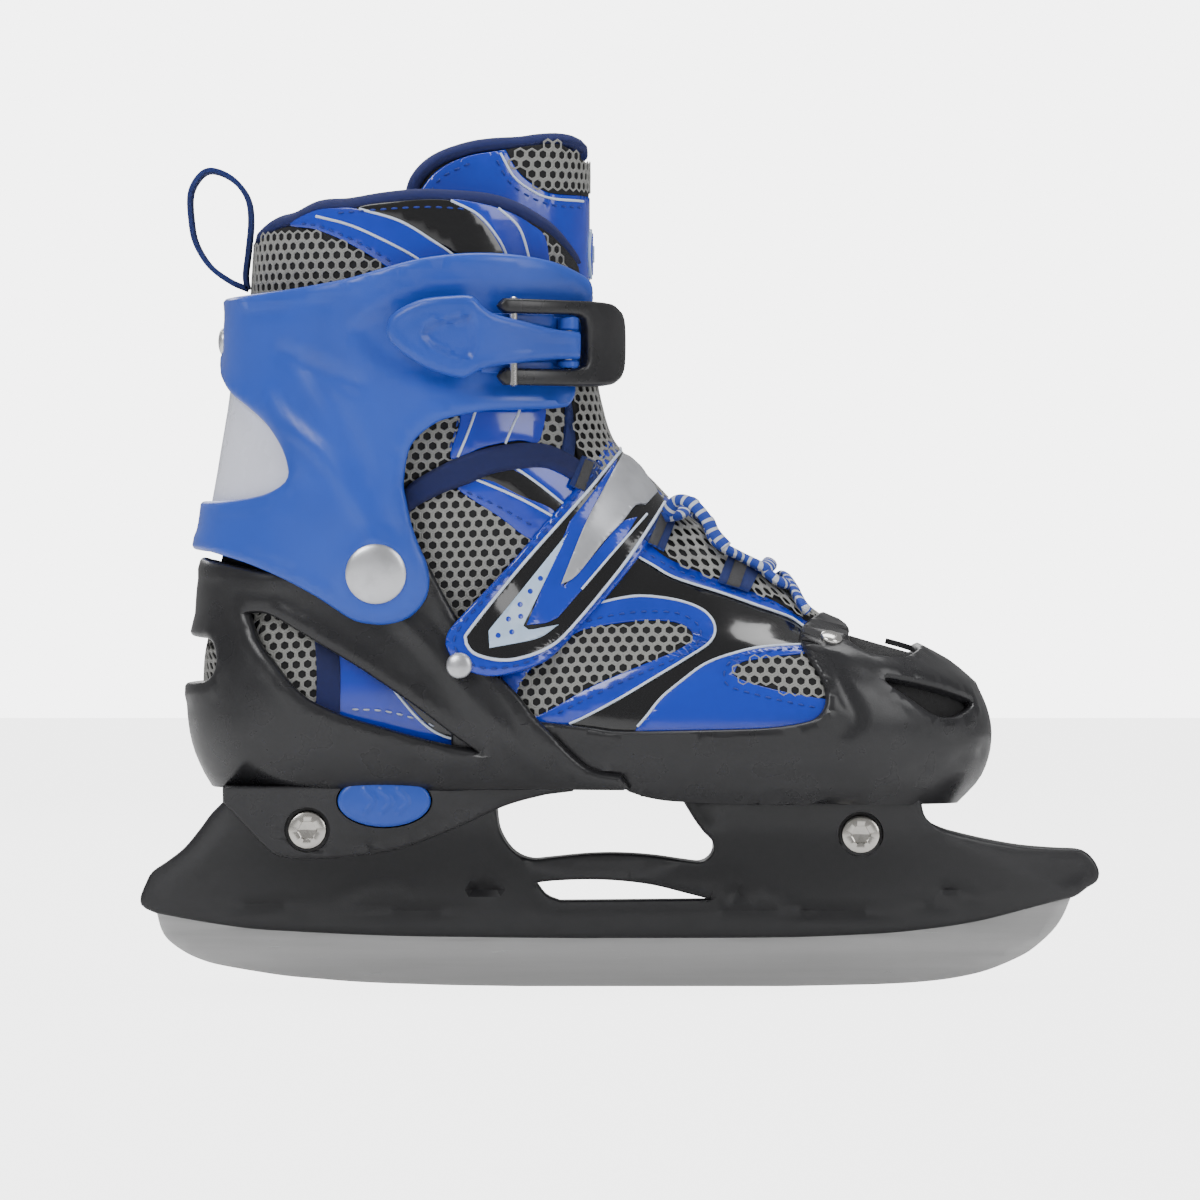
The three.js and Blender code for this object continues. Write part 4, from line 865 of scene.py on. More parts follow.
def make_looks(settings):
    shell = tuple(settings.shell_colour)
    cuff = tuple(settings.cuff_colour)
    cloth = tuple(settings.patent_colour)
    looks.update(steel=brushed("Blade Steel", (0.5, 0.5, 0.5), 0.34, (0.25, 1, 6)),
        holder=moulded("Holder Plastic", shell, 0.36), shell=moulded("Shell Plastic", shell, 0.3),
        cuff=moulded("Cuff Plastic", cuff, 0.34, 0.00002, Coat_Weight=0.15, Coat_Roughness=0.25),
        buckle=moulded("Buckle Plastic", darker(cuff, 0.92), 0.36, Coat_Weight=0.1),
        trim=moulded("Trim Plastic", (0.02, 0.02, 0.022), 0.3), panel=moulded("Panel Plastic", (0.8, 0.82,
        0.93), 0.28, 0.00001, Coat_Weight=0.2), bright=plain("Bright Steel", (0.75, 0.74, 0.72), 0.2, 200,
        0.00001, Metallic=1.0), satin=plain("Satin Metal", (0.72, 0.73, 0.76), 0.34, 900, 0.00002,
        Metallic=0.9), bolt=plain("Bolt Steel", (0.62, 0.6, 0.56), 0.24, 300, 0.00001, Metallic=1.0),
        blue=patent("Blue Patent", cloth), black=patent("Black Patent", (0.004, 0.004, 0.005)),
        silver=plain("Silver Print", (0.5, 0.51, 0.54), 0.32, 700, 0.00002, Metallic=0.35),
        pale=plain("Pale Print", PALE_PRINT, 0.3, 500, 0.00002, Coat_Weight=0.5), line=plain("White Line",
        WHITE_LINE, 0.35, 500, 0.00002, Coat_Weight=0.3), lining=twill("Lining Knit", (0.012, 0.012, 0.014),
        1.4), backing=plain("Net Backing", (0.008, 0.008, 0.009), 0.8), yarn=twill("Net Yarn", (0.66, 0.66,
        0.63), 0.5), binding=twill("Blue Twill", TWILL_BLUE, 0.9), tape=twill("Blue Tape", (0.022, 0.065,
        0.42), 0.7), grey=twill("Grey Tape", (0.16, 0.16, 0.17), 0.7), thread=plain("Pale Thread", (0.5,
        0.55, 0.68), 0.6, 900, 0.00005), blue_thread=plain("Blue Thread", (0.012, 0.035, 0.3), 0.6, 900,
        0.00005), insole=twill("Insole Felt", (0.03, 0.033, 0.04), 1.0),)
    finish = Finish("Flecked Lace", (0.016, 0.06, 0.45), 0.8, Sheen_Weight=0.06)
    flecks = finish.wave(0.11, (1, 1, 1), "UV", 0.5).band(0.72, 0.8)
    finish.feed("Base Color", finish.mix(flecks, finish.colour, (0.75, 0.78, 0.85, 1)))
    plait = finish.wave(0.9, (1, 8, 1), "UV", 0.6)
    finish.bump(plait, 0.0003, 0.8)
    looks["lace"] = finish.material


# ---------------------------------------------------------------- how a piece moves
def settle(obj, how, slot, *nodes):
    """Ties a piece to a body, or bakes in place a piece that spans the ankle or vamp, and hides its CAD
    nodes; the slot is not used.
    """
    if how == "ankle":
        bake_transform(obj)
    elif how == "vamp":
        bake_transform(obj)
    else:
        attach(obj, how)
    if nodes:
        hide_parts(*nodes)
    return obj


# ---------------------------------------------------------------- blade and holder
BLADE = [[(-139, 22.5), (-137.5, 17), (-135, 13.5), (-130, 10), (-125, 7.8), (-120, 6.4), (-110, 4.6),
    (-100, 3.1), (-90, 2.2), (-80, 1.4), (-70, 0.9), (-60, 0.6), (-50, 0.3), (-30, 0)], [(-30, 0), (50, 0)],
    [(50, 0), (70, 0.4), (80, 0.7), (90, 1.3), (100, 2.5), (110, 4.8), (120, 9), (125, 12.3), (130, 17),
    (133, 21.5), (135.5, 27.5)], [(135.5, 27.5), (135.5, 29.6)], [(135.5, 29.6), (120, 26.2), (95, 21.4),
    (60, 18.8), (0, 18.3), (-60, 18.8), (-100, 20.4), (-139, 25.8)], [(-139, 25.8), (-139, 22.5)]]
HOLDER = [[(-116, 57), (-118, 56)], [(-118, 56), (-122, 52), (-125, 48), (-130, 42), (-135, 38), (-140,
    34.5), (-142, 31), (-143.6, 27), (-143.4, 24.5), (-142, 23.3), (-139, 22)], [(-139, 22), (-130, 20.3),
    (-120, 18.6), (-110, 17.3), (-100, 16.6), (-80, 15.6), (-60, 15), (-20, 14.5), (0, 14.5), (40, 14.6),
    (60, 15), (80, 16), (90, 17), (100, 18.3), (110, 20.2), (120, 22.8), (130, 25.5), (136, 27), (140,
    29.8)], [(140, 29.8), (142.7, 31.5), (143.5, 34), (142.5, 37), (140, 40), (137, 41.2), (130, 41.5),
    (120, 42.3), (110, 44), (102, 45.8), (97, 47.2), (93, 49.2), (90.5, 52), (89.5, 57)], [(89.5, 57), (18,
    57)], [(18, 57), (22, 50.5), (25, 46.5), (27.5, 44), (27.8, 41), (26.5, 38.8), (24, 37.5), (20, 37.8),
    (10, 39.3), (0, 40), (-10, 39.8), (-22, 38.6), (-26, 38.3), (-30, 39.5), (-33, 42), (-35.5, 46), (-36.5,
    50), (-37, 57)], [(-37, 57), (-116, 57)]]
SLOT = [[(-25, 31.2), (-20, 31.8), (-10, 32.2), (0, 31.8), (10, 30.5), (20, 28), (27, 26.2)], [(27, 26.2),
    (-18, 25.8)], [(-18, 25.8), (-22, 27.5), (-25, 31.2)]]
TOWER = stations([(13, 3.4), (20, 4.2), (27, 5.6), (34, 8.4), (41, 12.6), (47, 16.2), (53, 18), (66, 18)])
PLAN = stations([(-146, 4.5), (-130, 9), (-112, 19), (-40, 19), (-26, 9), (14, 9), (34, 19), (84, 19), (104,
    13), (124, 8), (146, 5)])
SKIRT = [[(-118, 60.6), (-118, 56)], [(-118, 56), (-105, 42), (-100, 39.3), (-92, 38.7), (-80, 39.5), (-65,
    42), (-50, 47.5), (-37, 53.5), (-30, 56), (-22, 58)], [(-22, 58), (-14, 59)], [(-14, 59), (-14, 60.6)],
    [(-14, 60.6), (-118, 60.6)]]
SKIRT_HALF = stations([(36, 19.4), (42, 20.6), (48, 22.3), (55, 24.2), (62.4, 26), (70, 26)])
BUTTON = (-70, 56.2, 13.8, 7.7)
REAR_BOLT, FRONT_BOLT = (-93, 47.5), (71.7, 46)


def oval(x, z, a, b, count=48):
    t = np.arange(count) * 2 * math.pi / count
    return np.stack([x + a * np.cos(t), z + b * np.sin(t)], -1)


def groove(x, z, line, width, depth):
    """Depth of a groove along an open side-view line."""
    path = curve_through(line, 1.5)
    p = np.stack([x, z], -1)
    a, b = path[:-1], path[1:]
    ab = b - a
    t = np.clip(((p[:, None] - a[None]) * ab[None]).sum(-1) / (ab * ab).sum(-1)[None], 0, 1)
    d = np.linalg.norm(p[:, None] - (a[None] + t[..., None] * ab[None]), axis=-1).min(1)
    return depth * (1 - ramp(0, width, d))


def dish(x, z, outline, depth, lip=2.0):
    """Depth of a hollow inside a side-view outline, sloping over its lip."""
    ring = runs(*outline) if isinstance(outline[0], (list, tuple)) and not np.isscalar(outline[0][0]) \
        else curve_through(outline, 1.5, closed=True)
    p = np.stack([x, z], -1)
    flat3 = np.concatenate([p, np.zeros((len(p), 1))], 1)
    d = distance_to_loops(flat3, [np.concatenate([ring, np.zeros((len(ring), 1))], 1)])
    return np.where(inside(p, ring), depth * ramp(0, lip, d), 0)


def build_blade():
    blade = plate("blade_steel_runner", [runs(*BLADE)], lambda x, z, e, s: np.full(len(x), 1.5), "steel",
        3.5, 0.25)
    settle(blade, "chassis", "blade_steel", "blade")

    def half(x, z, edge, side):
        h = np.minimum(TOWER(z), PLAN(x))
        h = h - groove(x, z, [(-124, 34), (-122, 29), (-118, 26.5), (-110, 25), (-75, 23.5), (-40, 22), (0,
            22.3), (55, 22.6), (90, 24.5), (112, 28.5)], 1.3, 0.9)
        h = h - groove(x, z, [(33, 34), (45, 28), (56, 23)], 1.6, 0.8)
        h = h - groove(x, z, [(-84, 26.5), (-75, 31), (-66, 31.5), (-62, 29)], 2.4, 0.7)
        h = h - dish(x, z, [(-47, 27.4), (-41, 34.4), (-34, 27.2)], 2.6, 2.6)
        h = h - dish(x, z, [(31, 26.2), (35, 31.4), (41, 26.0)], 2.2, 2.6)
        h = h - dish(x, z, [(92, 26), (97, 32), (105, 28.6)], 1.8, 3)
        bolt = np.hypot(x - FRONT_BOLT[0], z - FRONT_BOLT[1])
        h = np.where(bolt < 7.1, np.where(bolt < 6.7, 13.2, h), h)
        h = h + 0.5 * (1 - ramp(1.0, 3.2, np.abs(edge - 1.6)))
        return h
    holder = plate("blade_holder_frame", [runs(*HOLDER), runs(*SLOT)], half, "holder", 2.4, 1.1,
        [oval(*FRONT_BOLT, 6.9, 6.9, 40)])
    settle(holder, "chassis", "holder_black", "blade_holder")

    for name, at, half_width in (("front", FRONT_BOLT, 13.4), ("rear", REAR_BOLT, 19.2)):
        for side, part in ((-1, "bolt"), (1, "nut")):
            y = half_width * side
            profile = [(5.7, -1.4), (5.7, 2.2), (5.5, 2.7), (5.0, 3.0), (3.0, 3.05), (2.5, 2.8, 1), (2.35,
                0.9, 1), (0.2, 0.5)]
            head = lathe(f"{name}_{part}_head", profile, (at[0], y, at[1]), (0, side, 0), "bolt", 48)
            settle(head, "chassis", "bolt_steel", f"{name}_{part}")


def build_skirt():
    def half(x, z, edge, side):
        h = SKIRT_HALF(z) - 1.2 * ramp(-50, -16, x)
        h = h - groove(x, z, [(-104, 50), (-98, 44.5), (-88, 41.6), (-74, 43), (-56, 47.8), (-40, 55)], 1.6,
            0.7)
        bolt = np.hypot(x - REAR_BOLT[0], z - REAR_BOLT[1])
        h = np.where(bolt < 6.7, 18.9, h)
        if side < 0:
            pocket = ((x - BUTTON[0]) / 14.2) ** 2 + ((z - BUTTON[1]) / 8.1) ** 2
            h = np.where(pocket < 1.0, 15.6, h)
        return h
    skirt = plate("heel_skirt", [runs(*SKIRT)], half, "shell", 2.4, 1.0, [oval(*REAR_BOLT, 6.8, 6.8, 40),
        np.minimum(oval(BUTTON[0], BUTTON[1], 14.3, 8.2), [999, 60.3])])
    settle(skirt, "chassis", "shell_black")

    def sole(name, xs, low, high, grow, body, *nodes):
        ring_t = np.linspace(0, 2 * math.pi, 121)[:-1]
        p = on_form(ring_t, np.full(120, 61.0), np.full(120, grow))
        p[:, 0] = np.clip(p[:, 0], *xs)
        pts = np.concatenate([p * [1, 1, 0] + [0, 0, high], p * [1, 1, 0] + [0, 0, low]])
        faces = [tuple(range(120)), tuple(range(239, 119, -1))]
        faces += [(i + 120, (i + 1) % 120 + 120, (i + 1) % 120, i) for i in range(120)]
        settle(new_object(name, pts, faces, "shell", smooth=False), body, "shell_black", *nodes)
    sole("sole_plate", (-200, 88), 60.0, 62.4, -3.2, "chassis")
    sole("sole_heel", (-200, 1), 59.6, 62.5, 5.6, "chassis")
    sole("toe_floor", (6, 200), 57.7, 59.6, 1.5, "toe")


def build_button():
    x, z, a, b = BUTTON
    ring = oval(x, z, a, b, 64)

    def face(px, pz, edge, side):
        lift = 26.2 + 0.9 * (1 - ((px - x) / a) ** 2 - ((pz - z) / b) ** 2)
        for k in (-1, 0, 1):
            tip = x + k * 5 + 2.2
            lift = lift + groove(px, pz, [(tip - 3, z + 3.4), (tip, z), (tip - 3, z - 3.4)], 1.0, 0.55)
        return lift
    places = plate("size_button_cap", [ring], lambda px, pz, e, s: np.full(len(px), 1.0), "buckle", 0.7,
        0.9)
    co = np.array([v.co for v in places.data.vertices]) / MM
    front = co[:, 1] < 0
    e = distance_to_loops(co * [1, 0, 1], [np.stack([ring[:, 0], 0 * ring[:, 0], ring[:, 1]], -1)])
    drop = 0.9 * (1 - np.sqrt(np.clip(1 - (1 - np.clip(e / 0.9, 0, 1)) ** 2, 0, 1)))
    co[:, 1] = np.where(front, -face(co[:, 0], co[:, 2], e, -1) + drop, -23.4)
    places.data.vertices.foreach_set("co", (co * MM).ravel())
    settle(places, "button", "buckle_blue", "size_button")
    turns = np.linspace(0, 7 * math.pi, 120)
    coil = np.stack([x + 8 + 1.9 * np.cos(turns), np.linspace(-20.2, -16.3, 120), z - 1.2 + 1.9
        * np.sin(turns)], -1)
    spring = sweep("button_coil", coil, circle(0.35, 8), "bright", up=coil - [x + 8, 0, z - 1.2])
    settle(spring, "chassis", "rivet_steel")


# ---------------------------------------------------------------- shells
HEEL_TOP = [(-124.5, 128.6), (-118, 127), (-105, 124.5), (-96, 126.5), (-88, 133), (-80, 137.4), (-70,
    138.4), (-61, 134), (-57, 127)]
HEEL_FRONT = [(-57, 127), (-50, 113.5), (-43, 103), (-36, 94), (-30, 87.5), (-25, 81), (-20, 76), (-14,
    69.6), (-8, 65.3), (0, 63.8)]
HEEL_WINDOW = [[(-110, 112), (-104, 111.5), (-95, 106.5), (-90, 103.5), (-80, 97.5), (-70, 91), (-60, 84),
    (-50, 76.5), (-42, 71)], [(-42, 71), (-50, 72.5), (-60, 75), (-70, 78), (-80, 81), (-85, 83), (-92,
    86.5), (-97, 91), (-102, 97), (-107, 104), (-110, 112)]]
TOE_RIM = [[(60.5, 112), (57, 110), (54.4, 108), (53.2, 105), (54, 102), (56, 98), (59, 93), (60.5, 88),
    (60, 84), (57, 80.7), (50, 79), (40, 78), (20, 77.5), (0, 77.3), (-10, 78.5), (-25, 80)], [(-25, 80),
    (-50, 80)], [(-50, 80), (-50, 64)], [(-50, 64), (0, 64)], [(0, 64), (1.5, 60.5), (4, 59.3), (10, 57.8),
    (20, 56.8), (50, 55.7), (80, 55), (100.5, 55)]]
TOE_VENT = [(78, 92), (82, 91.6), (90, 90), (97, 88), (104, 85), (101, 82), (97, 81), (92, 82), (86, 86),
    (80, 90)]
HEEL_IN, HEEL_OUT = 3.5, 5.9
TOE_IN, TOE_OUT = 0.5, 3.1
CUFF_IN, CUFF_OUT = 6.6, 9.2


def rivet(name, at, height, side, radius, tall, look, body, *nodes):
    turn, level = turn_at(np.array([at[0]]), np.array([at[1]]), height, side)
    p = on_form(turn, level, np.array([height]))[0]
    n = form_normal(turn, level)[0]
    cap = lathe(name, dome_profile(radius, tall), p, n, look)
    return settle(cap, body, "rivet_steel", *nodes)


def build_heel():
    top = curve_through(HEEL_TOP, 2)
    near = np.concatenate([top[:-1], curve_through(HEEL_FRONT, 2)[:-1], [(0, 63.8), (2.4, 60.4), (3, 60.0)],
        curve_through([(-60, 60), (-118.5, 60)], 4)])
    outline = round_back(near, 4.7)
    window = on_side(runs(*HEEL_WINDOW), 4.7)
    notch = round_back(curve_through([(-124, 105), (-120.6, 103), (-119.4, 98), (-120.6, 93.6), (-124,
        91.2)], 1), 4.7)

    def swell(x, z, edge, turn):
        rim = 0.9 * np.exp(-((edge - 2.6) / 1.5) ** 2)
        ridge = groove(x, z, [(-64, 110), (-57, 103), (-50, 95), (-38, 81), (-24, 68)], 5.0, 1.3)
        bulge = groove(x, z, [(-112, 74), (-96, 68), (-76, 66), (-52, 65)], 12, 0.8)
        return rim * ramp(58, 64, z) + ridge * (np.abs(np.sin(turn)) > 0.2) + bulge
    wall = sheet("heel_shell_wall", [outline, window, mirrored(window), notch], HEEL_IN, HEEL_OUT, "shell",
        2.6, 1.1, swell)
    settle(wall, "chassis", "shell_black", "heel_shell")
    for side, word in ((OUTER, "outer"), (INNER, "inner")):
        rivet(f"strap_{word}_rivet_head", (-47.5, 96.5), 9.0, side, 3.9, 2.0, "satin", "chassis",
            f"strap_rivet_{word}")
        rivet(f"ankle_{word}_pivot_head", (-72, 123.5), CUFF_OUT + 0.9, side, 9.0, 2.3, "satin", "chassis",
            f"ankle_rivet_{word}")


def build_toe():
    outline = round_front(runs(*TOE_RIM, closed=False), 1.8)
    vent = on_side(curve_through(TOE_VENT, 1, closed=True), 1.8)
    near = curve_through([(68.5, 109.2), (68, 103), (73, 99.4), (82, 98), (88, 100), (90.5, 104)], 1.2)
    top = round_front(near, 1.8)

    def swell(x, z, edge, turn):
        lip = 0.9 * np.exp(-((edge - 2.0) / 1.3) ** 2)
        seam = -groove(x, z, [(-40, 66), (10, 65), (50, 64), (76, 64.6), (90, 66.6), (103, 69.4), (112,
            73.4)], 1.0, 0.9)
        scoop = -groove(x, z, [(60, 98), (64, 91), (68, 84.5), (69.5, 80.5), (66, 77.5)], 3.5, 1.0)
        brow = groove(x, z, [(64, 100), (74, 96), (88, 93.5), (104, 89)], 4, 0.9)
        return lip + seam + scoop + brow
    shell = sheet("toe_shell_cap", [outline, vent, vent * [-1, 1], top], TOE_IN, TOE_OUT, "shell", 2.2, 1.0,
        swell)
    settle(shell, "toe", "shell_black", "toe_shell")
    for side, word in ((OUTER, "outer"), (INNER, "inner")):
        rivet(f"toe_{word}_rivet_head", (62.5, 104.6), TOE_OUT + 0.5, side, 3.4, 1.6, "bright", "toe",
            f"toe_rivet_{word}")


CUFF = [[(-116.8, 206), (-112, 206.3), (-100, 207.3), (-90, 208.7), (-80, 210.5), (-70, 213.3), (-60, 216),
    (-50, 217.5), (-40, 218), (-30, 217.5), (-20, 215.8), (-13, 213), (-9.5, 210.5), (-8.8, 207)], [(-8.8,
    207), (-14, 176)], [(-14, 176), (-15.4, 173.6), (-18, 172.7), (-30, 172), (-40, 171.5), (-50, 169.5),
    (-55, 167.5), (-60, 163.5), (-62.5, 159), (-63.8, 150), (-63, 145), (-61.5, 138), (-59, 131), (-57.2,
    127), (-56.3, 122), (-57, 117), (-60, 112.5), (-64, 109.8), (-70, 108.5), (-76, 109)], [(-76, 109),
    (-80, 110.5), (-90, 117), (-100, 122.3), (-110, 126.5), (-118, 129), (-124, 130.8)]]
REAR_WINDOW = [(-122, 145.3), (-119, 145.3), (-112, 145.7), (-105, 147), (-100, 149.5), (-98, 152), (-98,
    155), (-99.5, 160), (-102, 164.5), (-105, 168.5), (-110, 173), (-115, 177), (-117.6, 181), (-119,
    184.5), (-122, 186)]
RECESS = [(-80, 195), (-70, 202.5), (-60, 206.5), (-50, 208.5), (-40, 209), (-24, 208.2), (-9.6, 206.6),
    (-11, 190), (-14.6, 177.2), (-30, 176.5), (-45, 177.5), (-55, 179.3), (-65, 182.5), (-72, 186.5)]
PANEL = [(-124, 141), (-112, 141.5), (-100, 144.5), (-93.5, 150), (-94.5, 160), (-101, 171), (-109, 181),
    (-114, 190), (-124, 196)]


def build_cuff():
    outline = round_back(runs(*CUFF, closed=False), 7.9)
    window = round_back(curve_through(REAR_WINDOW, 1.4), 7.9)
    ring = np.concatenate([curve_through(RECESS[:7], 1.6)[:-1], curve_through(RECESS[6:], 1.6)])

    def swell(x, z, edge, turn):
        rim = 0.7 * np.exp(-((edge - 2.4) / 1.4) ** 2)
        near_side = np.sin(turn) > 0
        sunk = np.where(near_side, dish(x, z, [ring.tolist()], 1.3, 1.6), 0)
        crease = groove(x, z, [(-99, 189), (-88, 184), (-77, 179)], 3.5, 0.8)
        ridge = groove(x, z, [(-104, 176), (-98, 168), (-85, 156), (-76, 142), (-72, 134)], 4.5, 1.1)
        hollow = groove(x, z, [(-92, 184), (-86, 176), (-80, 165), (-75, 152)], 5, 0.9)
        collar = groove(x, z, [(-118, 201), (-100, 202), (-84, 205), (-66, 210.5), (-48, 213.4)], 2.0, 0.7)
        boss = 1.0 * (1 - ramp(10.6, 13.5, np.hypot(x + 72, z - 123.5)))
        return rim + ridge - sunk - crease - hollow - collar * 0.6 + boss
    shell = sheet("cuff_shell_wall", [outline, window], CUFF_IN, CUFF_OUT, "cuff", 2.3, 1.1, swell)
    settle(shell, "cuff", "cuff_blue", "cuff_shell")
    panel = sheet("cuff_back_panel", [round_back(curve_through(PANEL, 2), 5.5)], 4.85, 6.25, "panel", 3,
        0.5)
    settle(panel, "cuff", "panel_white", "back_panel")
    back = on_form(np.array([math.pi]), np.array([193.0]), np.array([CUFF_OUT]))[0]
    rear = lathe("cuff_back_rivet_head", dome_profile(4.2, 1.9), back + [0.4, 0, 0], (-1, 0, 0), "satin")
    settle(rear, "cuff", "rivet_steel", "back_rivet")


# ---------------------------------------------------------------- buckle
LEVER = [[(-68.5, 195), (-67.5, 198.5), (-64, 201.5), (-58, 204), (-50, 205), (-44, 205), (-41.5, 202.5),
    (-38, 200), (-30, 198), (-20, 195.7), (-12.8, 195)], [(-12.8, 195), (-12.8, 187)], [(-12.8, 187), (-20,
    186.7), (-30, 185.7), (-40, 184), (-44, 182), (-46, 181), (-50, 181.5), (-57, 184), (-64, 188.5),
    (-67.5, 192), (-68.5, 195)]]
BAIL = [[(-34, 204.5), (-20, 204.3), (-6, 204), (-2.4, 202.6), (-0.6, 199.5), (-0.2, 191.4), (-0.6, 183.6),
    (-2.4, 180.4), (-6, 179.2), (-20, 179), (-34, 179)], [(-34, 179), (-36, 181.5), (-34, 184)], [(-34,
    184), (-13, 184), (-11, 185), (-10.5, 187), (-10.5, 197), (-11, 199), (-13, 200), (-34, 200)], [(-34,
    200), (-36, 202.2), (-34, 204.5)]]
BASE = [[(-27, 184.4), (-27, 199.4)], [(-27, 199.4), (-12.2, 199.4)], [(-12.2, 199.4), (-12.2, 184.4)],
    [(-12.2, 184.4), (-27, 184.4)]]


def build_buckle():
    def lever_swell(x, z, edge, turn):
        rise = 1.7 * ramp(-70, -52, x) * (1 - ramp(-40, -18, x))
        cup = dish(x, z, [(-59, 194), (-56, 197.7), (-50, 199), (-44, 199.6), (-42.6, 193.5), (-44, 186.6),
            (-50, 187), (-56, 189.8)], 2.0, 2.2)
        crown = 0.8 * (1 - ((z - 193.4) / 12) ** 2)
        return rise - cup + crown + 0.5 * np.exp(-((edge - 1.9) / 1.1) ** 2)
    lever = sheet("buckle_lever_arm", [on_side(runs(*LEVER), 14.5)], 12.6, 16.2, "buckle", 1.3, 1.3,
        lever_swell)
    settle(lever, "lever", "buckle_blue", "buckle_lever")
    for word, low, high in (("upper", 196.2, 200.2), ("lower", 182.6, 186.4)):
        rail = sheet(f"buckle_side_{word}", [on_side(straight((-41, low), (-41, high), (-20, high), (-20,
            low)), 10.4)], 9.4, 11.4, "buckle", 1.5, 0.5)
        settle(rail, "cuff", "buckle_blue")
    base = sheet("buckle_base_plate", [on_side(runs(*BASE), 10.4)], 9.55, 11.1, "buckle", 1.6, 0.5)
    settle(base, "cuff", "buckle_blue", "buckle_base")
    axis = np.array([-15.5, -33.64])
    for word, low, high, body in (("upper", 195.4, 199.4, "cuff"), ("lower", 184.4, 186.6, "cuff"),
            ("lever", 187.2, 194.8, "lever")):
        knob = lathe(f"buckle_knuckle_{word}", [(2.6, 0), (3.2, 0.5), (3.2, high - low - 0.5), (2.6, high
            - low)], (*axis, low), (0, 0, 1), "buckle", 32)
        settle(knob, body, "buckle_blue")
    pin = lathe("buckle_lever_pin", [(1.1, 0), (1.4, 0.3), (1.4, 15.2), (1.1, 15.5)], (*axis, 184.1), (0, 0,
        1), "bright", 24)
    settle(pin, "cuff", "rivet_steel", "lever_pin")
    bail = sheet("buckle_bail_frame", [on_side(runs(*BAIL), 13.8)], 12.2, 15.4, "trim", 1.5, 1.1, lambda x,
        z, e, t: 0.9 * ramp(-12, -4, x))
    settle(bail, "bail", "trim_black", "buckle_bail")
    rod = lathe("buckle_bail_pin", [(0.8, 0), (1.3, 0.4), (1.3, 26), (0.8, 26.4)], (-31.5, -44.07, 178.6),
        (0, 0, 1), "bright", 24)
    settle(rod, "lever", "rivet_steel", "bail_pin")
    rivet("buckle_base_rivet_head", (-28.8, 191.2), 11.3, OUTER, 1.8, 0.7, "bright", "cuff", "base_rivet")

    def teeth(x, z, edge, turn):
        return 0.7 * (np.sin(turn * 26) > 0.1) * ramp(1.2, 2.2, edge)
    far = on_side(curve_through([(-12, 183.8), (-58, 183.8)], 3), 10.3, INNER) - [2 * math.pi, 0]
    far_top = on_side(curve_through([(-58, 197.2), (-12, 197.2)], 3), 10.3, INNER) - [2 * math.pi, 0]
    near = on_side(np.array([(-7.5, 197.2), (-7.5, 183.8)]), 10.3)
    ladder = sheet("ladder_strap_band", [np.concatenate([near, far, far_top])], 9.55, 11.35, "trim", 1.4,
        0.6, teeth)
    settle(ladder, "cuff", "trim_black", "ladder_strap")
    rivet("ladder_rivet_head", (-46, 190.5), 11.6, INNER, 3.9, 1.6, "satin", "cuff", "ladder_rivet")


# ---------------------------------------------------------------- liner
SEAM = [(-40, 63), (-38, 84), (-36, 100), (-20, 118), (0, 140), (8, 151), (12, 156)]
LINER_FACE = 0.0
PATCH = 0.15         # height of the first layer of patches over the liner


def build_liner():
    seam = curve_through(SEAM, 2.5)
    front = on_side(seam, 0)
    front[-1, 0] = 0
    bottom = on_side(curve_through([(104, 63), (60, 63), (-40, 63)], 3), 0)
    bottom[0, 0] = 0
    near = np.concatenate([front[::-1], bottom[::-1][1:]])
    vamp = np.concatenate([near, near[1:-1][::-1] * [-1, 1]])
    skin = sheet("liner_vamp_skin", [vamp], -3, LINER_FACE, "lining", 3.2, 0.4)
    settle(skin, "vamp", "liner_fabric", "liner_toe")
    heel = on_side(curve_through([(-124, 63), (-90, 63), (-40, 63)], 3), 0)
    heel[0, 0] = math.pi
    low = np.concatenate([heel, front[1:]])
    around = np.stack([np.linspace(-math.pi, math.pi, 90), np.full(90, 178.0)], -1)
    rear = np.concatenate([low, low[:-1][::-1] * [-1, 1], around])
    skin = sheet("liner_heel_skin", [rear], -4.5, LINER_FACE, "lining", 3.2, 0.4)
    settle(skin, "ankle", "liner_fabric", "liner_foot")

    ring_t = np.linspace(0, 2 * math.pi, 161)[:-1]
    rows = []
    for grow, z in ((-7.4, 66.2), (-6.8, 66.8), (-6.6, 67.6), (-7.0, 68.3), (-8.2, 68.6), (-14, 68.7)):
        p = on_form(ring_t, np.full(160, 67.5), np.full(160, float(grow)))
        p[:, 0] = np.clip(p[:, 0], -200, 85.5 + (grow + 6.6) * 0.6)
        p[:, 2] = z
        rows.append(p)
    pts = np.concatenate(rows)
    faces = [(r * 160 + i, r * 160 + (i + 1) % 160, (r + 1) * 160 + (i + 1) % 160, (r + 1) * 160 + i)
        for r in range(5) for i in range(160)]
    faces += [tuple(range(160))[::-1], tuple(range(800, 960))]
    pad = new_object("insole_pad", pts, faces, "insole", pts[:, :2])
    settle(pad, "chassis", "insole_fabric", "insole")


def mirror_turn(places):
    return places * [-1, 1]


def patch(name, outline, level, material, how, thick=0.5, holes=(), spacing=2.6, slot="liner_fabric",
        closed=True, sides=("outer", "inner")):
    """A cut piece of coated cloth on the liner, on both sides of the boot."""
    height = PATCH + level
    made = []
    for word in sides:
        rings = []
        for ring in (outline, *holes):
            points = ring if isinstance(ring, np.ndarray) else curve_through(ring, 1.6, closed=closed)
            places = on_side(points, height)
            rings.append(places if word == "outer" else mirror_turn(places))
        obj = sheet(f"{name}_{word}", rings, height - 0.4, height + thick, material, spacing, 0.35)
        made.append(settle(obj, how, slot))
    return made


